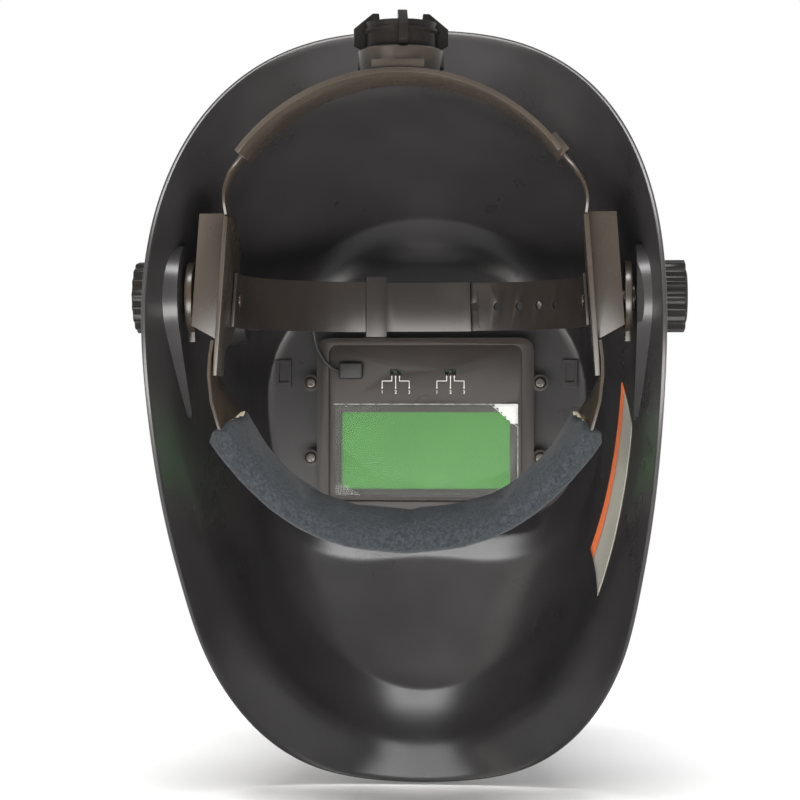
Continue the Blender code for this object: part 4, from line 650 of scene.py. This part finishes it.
def turned(profile, matrix, count=32):
    """A solid of revolution about local Z, through (radius, height) points from axis to axis."""
    shape = bmesh.new()
    top = shape.verts.new((0, 0, profile[0][1]))
    bottom = shape.verts.new((0, 0, profile[-1][1]))
    rings = []
    for radius, height in profile[1:-1]:
        ring = []
        for step in range(count):
            turn = 2 * math.pi * step / count
            ring.append(shape.verts.new((radius * math.cos(turn), radius * math.sin(turn), height)))
        rings.append(ring)
    for here in range(count):
        after = (here + 1) % count
        shape.faces.new((top, rings[0][here], rings[0][after]))
        shape.faces.new((bottom, rings[-1][after], rings[-1][here]))
        for first, second in zip(rings, rings[1:]):
            shape.faces.new((first[here], second[here], second[after], first[after]))
    bmesh.ops.recalc_face_normals(shape, faces=shape.faces)
    shape.transform(matrix)
    return shape


HEAD_RADIUS = 0.0031
HEAD_HEIGHT = 0.0018
HEAD_PROFILE = ((0, 1), (0.45, 0.97), (0.78, 0.82), (0.95, 0.5), (1, 0.2), (1, 0))
SHANK_RADIUS = 0.0013
POINT_LENGTH = 0.0013
RECESS_WIDTH = 0.0009
RECESS_REACH = 0.0019
RECESS_DEPTH = 0.0012
SCREW_TURNS = (12, 38, 71, 25)
screw_steel = plain_material("screw_steel", (0.060, 0.056, 0.052), 0.34, metallic=0.85)
streaked(screw_steel, 0.15, 0.002)
for number, left_at in enumerate(SCREW_TURNS, start=1):
    screw_low, screw_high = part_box("holder_screw_%d" % number)
    middle = (screw_low + screw_high) / 2
    seat = -screw_low.y - HEAD_HEIGHT
    place = along_y(middle.x, middle.z) @ Matrix.Rotation(math.radians(left_at), 4, "Z")
    head = [(HEAD_RADIUS * out, seat + HEAD_HEIGHT * up) for out, up in HEAD_PROFILE]
    tip = -screw_high.y
    shank = [(SHANK_RADIUS, seat), (SHANK_RADIUS, POINT_LENGTH + tip), (0, tip)]
    screw = show("cross_head_screw_%d" % number, mesh_of(turned(head + shank, place)))
    recess_low = seat + HEAD_HEIGHT - RECESS_DEPTH
    recess_high = seat + 2 * HEAD_HEIGHT
    for reach_x, reach_y in ((RECESS_REACH, RECESS_WIDTH / 2), (RECESS_WIDTH / 2, RECESS_REACH)):
        slot_mesh = block((-reach_x, -reach_y, recess_low), (reach_x, reach_y, recess_high))
        slot_mesh.transform(place)
        combine(screw, slot_mesh, "DIFFERENCE")
    screw.data.materials.append(screw_steel)
    smooth_shading(screw, 30)
    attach(screw, "shell")
    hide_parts("holder_screw_%d" % number)

# ---------------------------------------------------------------- slider legends
# White pad printing on the case: under each slider's slot, three lines lead from its
# three settings to the numbers 1, 2 and 3.

PRINT_DEPTH = 0.00005
LINE_WIDTH = 0.00035
ARROW = 0.0009
SLOT_GAP = 0.0012
START_SPREAD = 0.0021
START_DROP = 0.0006
BEND_DROP = 0.0027
FOOT_SPREAD = 0.0074
FOOT_DROP = 0.0062
NUMBER_DROP = 0.0026
NUMBER_SIZE = 0.0026
print_white = streaked(plain_material("print_white", (0.72, 0.71, 0.68), 0.55), 0.15, 0.001)


def printed_line(shape, start, end, y):
    """A stroke of ink on a face that looks back at the wearer; start and end are (x, z)."""
    along = (Vector(end) - Vector(start)).normalized()
    aside = Vector((-along.y, along.x)) * LINE_WIDTH / 2
    grow = along * LINE_WIDTH / 2
    flat = (
        Vector(start) - aside - grow, Vector(end) - aside + grow,
        Vector(end) + aside + grow, Vector(start) + aside - grow,
    )
    printed_patch(shape, flat, y)


def printed_patch(shape, flat, y):
    """A thin closed patch of ink over the corners, given as (x, z)."""
    under = [shape.verts.new((corner.x, y, corner.y)) for corner in flat]
    over = [shape.verts.new((corner.x, y - PRINT_DEPTH, corner.y)) for corner in flat]
    shape.faces.new(under)
    shape.faces.new(list(reversed(over)))
    for here in range(len(flat)):
        after = (here + 1) % len(flat)
        shape.faces.new((under[here], over[here], over[after], under[after]))


def lettering(words, size, depth, matrix):
    """Plain characters as a solid mesh, centred on local origin and facing local Z."""
    text = bpy.data.curves.new("characters", "FONT")
    text.body = words
    text.size = size
    text.extrude = depth / 2
    text.align_x = "CENTER"
    text.align_y = "CENTER"
    text.resolution_u = 3
    holder = bpy.data.objects.new("characters", text)
    bpy.context.scene.collection.objects.link(holder)
    mesh = settled(holder)
    mesh.transform(matrix)
    return mesh


for slider in ("sensitivity", "delay"):
    slider_low, slider_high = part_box(slider + "_slider")
    centre_x = (slider_low.x + slider_high.x) / 2
    top_z = slider_low.z - SLOT_GAP
    legend = bmesh.new()
    for setting, side in enumerate((-1, 0, 1), start=1):
        start = (centre_x + side * START_SPREAD, top_z - START_DROP)
        bend_z = top_z - BEND_DROP
        foot = (centre_x + side * FOOT_SPREAD, top_z - FOOT_DROP)
        route = (start, foot)
        if side != 0:
            route = (start, (start[0], bend_z), (foot[0], bend_z), foot)
        for first, second in zip(route, route[1:]):
            printed_line(legend, first, second, case_back_y)
        for tip, way in ((start, 1), (foot, -1)):
            head = (
                Vector((tip[0] - ARROW / 2, tip[1])), Vector((tip[0] + ARROW / 2, tip[1])),
                Vector((tip[0], tip[1] + way * ARROW)),
            )
            printed_patch(legend, head, case_back_y)
        number_place = Matrix.Translation((0, case_back_y - PRINT_DEPTH / 2, 0))
        number_place @= along_y(foot[0], foot[1] - NUMBER_DROP)
        number = lettering(str(setting), NUMBER_SIZE, PRINT_DEPTH, number_place)
        legend.from_mesh(number)
    bmesh.ops.recalc_face_normals(legend, faces=legend.faces)
    sign = show(slider + "_legend", mesh_of(legend), "shell", print_white)

# ---------------------------------------------------------------- cartridge glass
# A liquid-crystal filter in green glass, seen through thin polycarbonate covers. The
# front of the cartridge carries a solar cell and two arc sensors over a circuit board.

filter_glass = plain_material(
    "filter_glass", (0.060, 0.29, 0.034), 0.26, transmission=0.78, ior=1.25
)
streaked(filter_glass, 0.01, 0.03)
clear_cover = plain_material("clear_cover", (0.95, 0.98, 0.95), 0.02, transmission=1.0, ior=1.18)
streaked(clear_cover, 0.005, 0.015)
solar_glass = plain_material("solar_glass", (0.010, 0.012, 0.045), 0.18)
streaked(solar_glass, 0.1, 0.004, stretch=(1, 1, 8))
sensor_lens = streaked(plain_material("sensor_lens", (0.050, 0.006, 0.010), 0.06), 0.05, 0.003)
board_lacquer = plain_material("board_lacquer", (0.020, 0.110, 0.045), 0.45)
streaked(board_lacquer, 0.2, 0.003)
dress("lcd_filter", filter_glass, 0)
dress("inner_cover_lens", clear_cover, 0.0001, 1)
dress("outer_cover_lens", clear_cover, 0.0001, 1)
dress("solar_cell", solar_glass, 0.0001, 1)
dress("arc_sensor_right", sensor_lens, 0)
dress("arc_sensor_left", sensor_lens, 0)
dress("circuit_board", board_lacquer, 0)
dress("sensitivity_slider", case_plastic, 0.0002, 1)
dress("delay_slider", case_plastic, 0.0002, 1)

# ---------------------------------------------------------------- protective film
# The new helmet's clear film still covers the inner lens. One corner has been peeled up for
# pulling.
# Its cut edges and fold are pale strands, a painted highlight, and the lifted corner is a paler
# copy of the film, painted glare.

FILM_THICKNESS = 0.00008
FILM_OVERHANG = 0.0009
FILM_COLUMNS = 48
FILM_ROWS = 24
FILM_ALPHA = 0.025
# Opacity of the lifted corner's copy of the film, which paints its glare.
LIFTED_GLARE_ALPHA = 0.42
PEEL_LENGTH = 0.0150
PEEL_HEIGHT = 0.0125
PEEL_RISE = 0.0042
PEEL_CURL = 1.4
RIPPLE = 0.00004
RIPPLE_TURNS = 900
CUT_EDGE_RADIUS = 0.00016
lens_low, lens_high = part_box("inner_cover_lens")
film_width = lens_high.x - lens_low.x + 2 * FILM_OVERHANG
film_height = lens_high.z - lens_low.z + 2 * FILM_OVERHANG


def film_point(share_x, share_z):
    """A place on the film, from shares of its width and height; its far upper corner curls up."""
    x = lens_low.x - FILM_OVERHANG + film_width * share_x
    z = lens_low.z - FILM_OVERHANG + film_height * share_z
    corner_x = (lens_high.x + FILM_OVERHANG - x) / PEEL_LENGTH
    corner_z = (lens_high.z + FILM_OVERHANG - z) / PEEL_HEIGHT
    past_fold = max(1 - corner_x - corner_z, 0)
    ripple = RIPPLE * math.sin(x * RIPPLE_TURNS) * share_z ** 8
    y = case_back_y - 2 * FILM_THICKNESS - PEEL_RISE * past_fold ** PEEL_CURL + ripple
    return Vector((x, y, z))


def sheet_mesh(point_at, columns, rows, low_row=0.0, high_row=1.0):
    """A sheet of squares over point_at(share of the columns, share of the rows)."""
    shape = bmesh.new()
    grid = []
    for row in range(rows + 1):
        share = low_row + (high_row - low_row) * row / rows
        points = [point_at(column / columns, share) for column in range(columns + 1)]
        grid.append([shape.verts.new(point) for point in points])
    for lower, upper in zip(grid, grid[1:]):
        for column in range(columns):
            corners = (lower[column], lower[column + 1], upper[column + 1], upper[column])
            shape.faces.new(corners)
    return mesh_of(shape)


film_clear = streaked(plain_material("film_clear", (0.80, 0.82, 0.80), 0.12), 0.01, 0.006)
# The lifted corner is a paler, more opaque copy of the clear film: painted glare.
film_lifted_painted_glare = streaked(plain_material("film_lifted_painted_glare", (0.85, 0.88, 0.84), 0.25), 0.20, 0.002)
for material, alpha in ((film_clear, FILM_ALPHA), (film_lifted_painted_glare, LIFTED_GLARE_ALPHA)):
    material.node_tree.nodes["Principled BSDF"].inputs["Alpha"].default_value = alpha
film = show("lens_film", sheet_mesh(film_point, FILM_COLUMNS, FILM_ROWS), "shell", film_clear)
film.data.materials.append(film_lifted_painted_glare)
# Faces of the lifted corner take the painted glare.
for face in film.data.polygons:
    if face.center.y < case_back_y - 3 * FILM_THICKNESS:
        face.material_index = 1
film_wall = film.modifiers.new("Solidify", "SOLIDIFY")
film_wall.thickness = FILM_THICKNESS
film.data.shade_smooth()
# Pale strands along the cut edges and the fold are a painted highlight, not the film's own colour.
film_edge_painted_highlight = streaked(plain_material("film_edge_painted_highlight", (0.70, 0.72, 0.70), 0.30), 0.2, 0.002)
fold_places = []
for step in range(21):
    along_x = (PEEL_LENGTH * step / 20) / film_width
    down_z = (PEEL_HEIGHT * (1 - step / 20)) / film_height
    fold_places.append(film_point(1 - along_x, 1 - down_z))
for name, places in (
    ("film_edge_top", [film_point(step / 60, 1) for step in range(61)]),
    ("film_edge_side", [film_point(1, 1 - step / 40) for step in range(41)]),
    ("film_fold", fold_places),
):
    edge_curve = bpy.data.curves.new(name, "CURVE")
    edge_curve.dimensions = "3D"
    edge_curve.bevel_depth = CUT_EDGE_RADIUS
    edge_curve.bevel_resolution = 1
    edge_curve.use_fill_caps = True
    spline = edge_curve.splines.new("POLY")
    spline.points.add(len(places) - 1)
    for number, (corner, point) in enumerate(zip(spline.points, places)):
        # The painted highlight on the edge is uneven in width along its length.
        waver = math.sin(number * 1.9) * math.cos(number * 0.7)
        corner.co = (*point, 1)
        corner.radius = 0.55 + 0.45 * waver
    holder = bpy.data.objects.new(name, edge_curve)
    bpy.context.scene.collection.objects.link(holder)
    edge = show(name, settled(holder), "shell", film_edge_painted_highlight)

# ---------------------------------------------------------------- blank label
# A two-tone paper label stuck to the shell's right inner wall, with nothing printed
# on it. It follows the wall's curve.

LABEL_THICKNESS = 0.00020
LABEL_LIFT = 0.00012
LABEL_CORNERS = ((0.0780, -0.0400), (0.1000, -0.1270), (0.0580, -0.1480), (0.0400, -0.0620))
LABEL_START_X = 0.06
LABEL_BAND = 0.22
LABEL_COLUMNS = 30
LABEL_ROWS = 16
label_shape = bmesh.new()
label_shape.from_mesh(shell.data)
label_tree = BVHTree.FromBMesh(label_shape)


def label_point(along, aside):
    """A place on the label, from its far upper corner: shares of its length and its width."""
    corners = [Vector((LABEL_START_X, y, z)) for y, z in LABEL_CORNERS]
    far_top, far_end, near_end, near_top = corners
    flat = far_top.lerp(far_end, along).lerp(near_top.lerp(near_end, along), aside)
    place, facing, _, _ = label_tree.ray_cast(flat, Vector((1, 0, 0)))
    return place + facing * LABEL_LIFT


for name, colour, low_share, high_share in (
    ("label_field", (0.30, 0.29, 0.25), LABEL_BAND, 1.0),
    ("label_band", (0.60, 0.13, 0.04), 0.0, LABEL_BAND),
):
    paper = moulded_plastic(
        name + "_paper", colour, roughness=0.45,
        grain_size=0.0004, grain_depth=0.00001, mottling=0.05,
    )
    field = sheet_mesh(label_point, LABEL_COLUMNS, LABEL_ROWS, low_share, high_share)
    label = show(name, field, "shell", paper)
    sheet = label.modifiers.new("Solidify", "SOLIDIFY")
    sheet.thickness = LABEL_THICKNESS
    sheet.offset = 0
    label.data.shade_smooth()

# ---------------------------------------------------------------- shade control
# A potentiometer in a steel can, held in the wall by its nut, with a rubber-sleeved
# lead from the cartridge. Its knob outside is numbered round the face.

steel = streaked(plain_material("steel", (0.36, 0.35, 0.33), 0.32, metallic=1.0), 0.15, 0.002)
brass = streaked(plain_material("brass", (0.55, 0.42, 0.18), 0.30, metallic=1.0), 0.15, 0.002)
rubber = moulded_plastic(
    "rubber", (0.012, 0.012, 0.012), roughness=0.62, grain_size=0.0004, grain_depth=0.00003
)
dress("shade_pot_body", steel, 0.0004, 2)
dress("shade_pot_nut", brass, 0.0002, 1)
dress("shade_lead", rubber, 0)
dress("wire_boot", rubber, 0.0003, 2)
knob_plastic = moulded_plastic(
    "knob_plastic", (0.0065, 0.0056, 0.0050), roughness=0.26,
    grain_size=0.0007, grain_depth=0.00003, mottling=0.2, specular=0.10,
)
dress("shade_knob", knob_plastic, 0.0005, 2)
shade_face_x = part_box("shade_knob")[0].x
DIAL_RADIUS = 0.0086
DIAL_NUMBERS = (9, 10, 11, 12, 13)
DIAL_FIRST = -120
DIAL_STEP = 60
DIAL_NUMBER_SIZE = 0.0034
dial = bmesh.new()
for step, number in enumerate(DIAL_NUMBERS):
    turn = math.radians(DIAL_FIRST + DIAL_STEP * step)
    place = Matrix.Translation((shade_face_x, SHADE_CENTRE.y, SHADE_CENTRE.z)) @ towards_x(-1)
    place @= Matrix.Rotation(math.radians(90), 4, "Z") @ Matrix.Rotation(-turn, 4, "Z")
    place @= Matrix.Translation((0, DIAL_RADIUS, 0))
    dial.from_mesh(lettering(str(number), DIAL_NUMBER_SIZE, 2 * PRINT_DEPTH, place))
numbers = show("shade_dial_numbers", mesh_of(dial), "shade_dial", print_white)

# ---------------------------------------------------------------- pivots and tension knobs
# Each pivot is a zinc-plated square-headed bolt with its washer. A fluted knob outside
# sets the friction, and a moulded stop disc and spacer sit inside.

headgear_plastic = moulded_plastic(
    "headgear_plastic", (0.0200, 0.0155, 0.0115), roughness=0.27,
    grain_size=0.0008, grain_depth=0.00003, mottling=0.2, specular=0.28,
)
CAP_PROFILE = (
    (0, 0.0002), (0.0040, 0.0002), (0.0046, 0.0008), (0.0118, 0.0008),
    (0.0124, 0.0002), (0.0124, -0.0004), (0, -0.0004),
)
for side_name, side in (("right", 1), ("left", -1)):
    dress("stop_disc_" + side_name, headgear_plastic, 0.0005, 2)
    dress("pivot_spacer_" + side_name, headgear_plastic, 0.0003, 2)
    dress("pivot_bolt_" + side_name, steel, 0.0003, 2)
    dress("tension_washer_" + side_name, steel, 0.0002, 1)
    dress("tension_knob_" + side_name, knob_plastic, 0.0006, 2)
    knob_low, knob_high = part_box("tension_knob_" + side_name)
    face_x = knob_high.x if side > 0 else -knob_low.x
    profile = [(radius, face_x + rise) for radius, rise in CAP_PROFILE]
    cap_mesh = mesh_of(turned(profile, towards_x(side), 48))
    cap = show("tension_cap_" + side_name, cap_mesh, "tension_" + side_name, knob_plastic)
    smooth_shading(cap, 30)

# ---------------------------------------------------------------- headgear
# Rails, blocks, forehead band and crown straps, moulded in a dark brown-grey
# polyethylene whose satin skin shines on its edges.

for side_name in ("right", "left"):
    for node in ("side_rail", "side_block", "strap_rivet"):
        dress("%s_%s" % (node, side_name), headgear_plastic, 0.0005, 2)
dress("front_band", headgear_plastic, 0.0003, 2)
strap_plastic = moulded_plastic(
    "strap_plastic", (0.0120, 0.0100, 0.0085), roughness=0.30,
    grain_size=0.0008, grain_depth=0.00003, mottling=0.2, specular=0.25,
)
dress("crown_strap_left", strap_plastic, 0.0003, 2)
dress("crown_strap_right", strap_plastic, 0.0003, 2)

# ---------------------------------------------------------------- nape plate and ratchet
# The ratchet's housing sits on a curved plate at the nape. The headband's two toothed
# tails run over the plate into the housing, where the knob's pinion draws them in.

dress("nape_plate", headgear_plastic, 0.0004, 2)
dress("ratchet_housing", headgear_plastic, 0.0005, 2)
dress("ratchet_pinion", headgear_plastic, 0.0002, 1)
dress("ratchet_knob", knob_plastic, 0.0005, 2)
for side_name, side in (("right", 1), ("left", -1)):
    node = "ratchet_tail_" + side_name
    raw_tail = show("raw_tail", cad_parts[node].data.copy(), None, headgear_plastic)
    rounded(raw_tail, 0.0003, 2)
    tail = show("headband_tail_" + side_name, settled(raw_tail), None, headgear_plastic)
    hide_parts(node)
    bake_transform(tail)

# ---------------------------------------------------------------- sweatband pad
# A sleeve of charcoal fleece laminated to foam, pulled over the forehead band and cut
# square at both ends. It swells between them.

BAND_FOOT_X = 0.0917
RAIL_BOTTOM = -0.0380
BAND_START = (0.0898, -0.0215)
BAND_DROP = 0.0798
# Round the forehead band: the near edge's share of its half width and of its drop, then the
# far edge's.
BAND_ROUTE = (
    (0.960, 0.326, 0.878, 0.188),
    (0.803, 0.570, 0.747, 0.457),
    (0.572, 0.810, 0.551, 0.689),
    (0.316, 0.946, 0.311, 0.815),
    (0.000, 1.000, 0.000, 0.861),
)
PAD_NEAR_Y = -0.0410
PAD_FAR_Y = 0.0030
PAD_START = 0.33
PAD_CORE = 0.0125
PAD_TUCK = 0.0010
PAD_STATIONS = 30
PAD_SIDES = 20
PAD_VOXEL = 0.0045
PAD_PRESSURE = 4
PAD_SWELL_CAP = 0.0050
PAD_SWELL_FRAMES = 20
END_DEPTH = 0.0008
END_FACING = 0.75
END_RADIUS = 0.03


def fleece_material(name, colour, light_colour):
    """Brushed knit: a soft nap in two shades, matt, with pale fibres standing off it."""
    material = bpy.data.materials.new(name)
    material.use_nodes = True
    nodes = material.node_tree.nodes
    links = material.node_tree.links
    shader = nodes["Principled BSDF"]
    shader.inputs["Roughness"].default_value = 0.95
    shader.inputs["Sheen Weight"].default_value = 0.05
    shader.inputs["Sheen Roughness"].default_value = 0.5
    shader.inputs["Specular IOR Level"].default_value = 0.2
    place = nodes.new("ShaderNodeTexCoord")
    tufts = nodes.new("ShaderNodeTexNoise")
    tufts.inputs["Scale"].default_value = 1100
    tufts.inputs["Detail"].default_value = 5
    links.new(place.outputs["Object"], tufts.inputs["Vector"])
    heather = nodes.new("ShaderNodeTexNoise")
    heather.inputs["Scale"].default_value = 700
    heather.inputs["Detail"].default_value = 6
    heather.inputs["Roughness"].default_value = 0.75
    links.new(place.outputs["Object"], heather.inputs["Vector"])
    shade = nodes.new("ShaderNodeValToRGB")
    shade.color_ramp.elements[0].position = 0.40
    shade.color_ramp.elements[0].color = (*colour, 1)
    shade.color_ramp.elements[1].position = 0.68
    shade.color_ramp.elements[1].color = (*light_colour, 1)
    links.new(heather.outputs["Fac"], shade.inputs["Fac"])
    links.new(shade.outputs["Color"], shader.inputs["Base Color"])
    nap = nodes.new("ShaderNodeBump")
    nap.inputs["Strength"].default_value = 0.8
    nap.inputs["Distance"].default_value = 0.0006
    links.new(tufts.outputs["Fac"], nap.inputs["Height"])
    links.new(nap.outputs["Normal"], shader.inputs["Normal"])
    return material


fleece_cloth = fleece_material(
    "fleece_cloth", (0.005, 0.0065, 0.0080), (0.019, 0.0235, 0.0270)
)
foam_cream = moulded_plastic(
    "foam_cream", (0.42, 0.36, 0.25), roughness=0.9,
    grain_size=0.0009, grain_depth=0.0002, mottling=0.15, specular=0.2,
)


def smooth_route(points, count):
    """A curve through the points, read at evenly spaced places along them."""
    points = [2 * points[0] - points[1], *points, 2 * points[-1] - points[-2]]
    spans = len(points) - 3
    read = []
    for step in range(count + 1):
        place = min(step / count * spans, spans - 1e-9)
        start = int(place)
        t = place - start
        a, b, c, d = points[start:start + 4]
        bend = 2 * a - 5 * b + 4 * c - d
        twist = 3 * b - a - 3 * c + d
        read.append(0.5 * (2 * b + (c - a) * t + bend * t * t + twist * t ** 3))
    return read


def pad_edge(y, across_column, down_column):
    """One long edge of the pad, from its right end round to its left end."""
    points = [Vector((BAND_START[0], y, BAND_START[1])), Vector((BAND_FOOT_X, y, RAIL_BOTTOM))]
    for row in BAND_ROUTE:
        drop = BAND_DROP * row[down_column]
        points.append(Vector((BAND_FOOT_X * row[across_column], y, RAIL_BOTTOM - drop)))
    half = smooth_route(points, 3 * PAD_STATIONS // 2)
    half = half[round(PAD_START * len(half)):]
    return half + [Vector((-p.x, p.y, p.z)) for p in reversed(half[:-1])]


pad_near = pad_edge(PAD_NEAR_Y, 0, 1)
pad_far = pad_edge(PAD_FAR_Y, 2, 3)
pad_loops = []
for station, (near_point, far_point) in enumerate(zip(pad_near, pad_far)):
    before = max(station - 1, 0)
    after = min(station + 1, len(pad_near) - 1)
    along = (pad_near[after] + pad_far[after] - pad_near[before] - pad_far[before]).normalized()
    width = (far_point - near_point) / 2 - (far_point - near_point).normalized() * PAD_TUCK
    outwards = along.cross(width).normalized()
    middle = (near_point + far_point) / 2
    loop = []
    for step in range(PAD_SIDES):
        turn = 2 * math.pi * step / PAD_SIDES
        across = math.copysign(abs(math.cos(turn)) ** 0.5, math.cos(turn))
        out = math.copysign(abs(math.sin(turn)) ** 0.7, math.sin(turn))
        loop.append(middle + width * across + outwards * PAD_CORE / 2 * out)
    pad_loops.append(loop)
pad_shape = loft(pad_loops)
pad = show("fleece_sleeve", mesh_of(pad_shape))
even = pad.modifiers.new("Remesh", "REMESH")
even.mode = "VOXEL"
even.voxel_size = PAD_VOXEL
pad = show("fleece_sleeve", settled(pad))
foam = pad.modifiers.new("Cloth", "CLOTH")
foam.settings.use_pressure = True
foam.settings.uniform_pressure_force = PAD_PRESSURE
foam.settings.effector_weights.gravity = 0
foam.settings.quality = 6
foam.point_cache.frame_start = 1
foam.point_cache.frame_end = PAD_SWELL_FRAMES
for frame_number in range(1, PAD_SWELL_FRAMES + 1):
    bpy.context.scene.frame_set(frame_number)
before_swell = [point.co.copy() for point in pad.data.vertices]
swollen = settled(pad)
bpy.context.scene.frame_set(1)
for point, start in zip(swollen.vertices, before_swell):
    moved = point.co - start
    if moved.length > PAD_SWELL_CAP:
        point.co = start + moved.normalized() * PAD_SWELL_CAP
pad = show("fleece_sleeve", swollen)
finer = pad.modifiers.new("Subdivision", "SUBSURF")
finer.levels = 1
finer.render_levels = 1
pad = show("fleece_sleeve", settled(pad))
pad.data.shade_smooth()
pad.data.materials.clear()
pad.data.materials.append(fleece_cloth)
pad.data.materials.append(foam_cream)
for here, inside in ((0, 1), (-1, -2)):
    end_middle = (pad_near[here] + pad_far[here]) / 2
    outward = (end_middle - (pad_near[inside] + pad_far[inside]) / 2).normalized()
    for face in pad.data.polygons:
        from_end = face.center - end_middle
        at_cut = from_end.dot(outward) > -END_DEPTH and from_end.length < END_RADIUS
        if at_cut and face.normal.dot(outward) > END_FACING:
            face.material_index = 1
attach(pad, "headgear")
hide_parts("sweatband_pad")
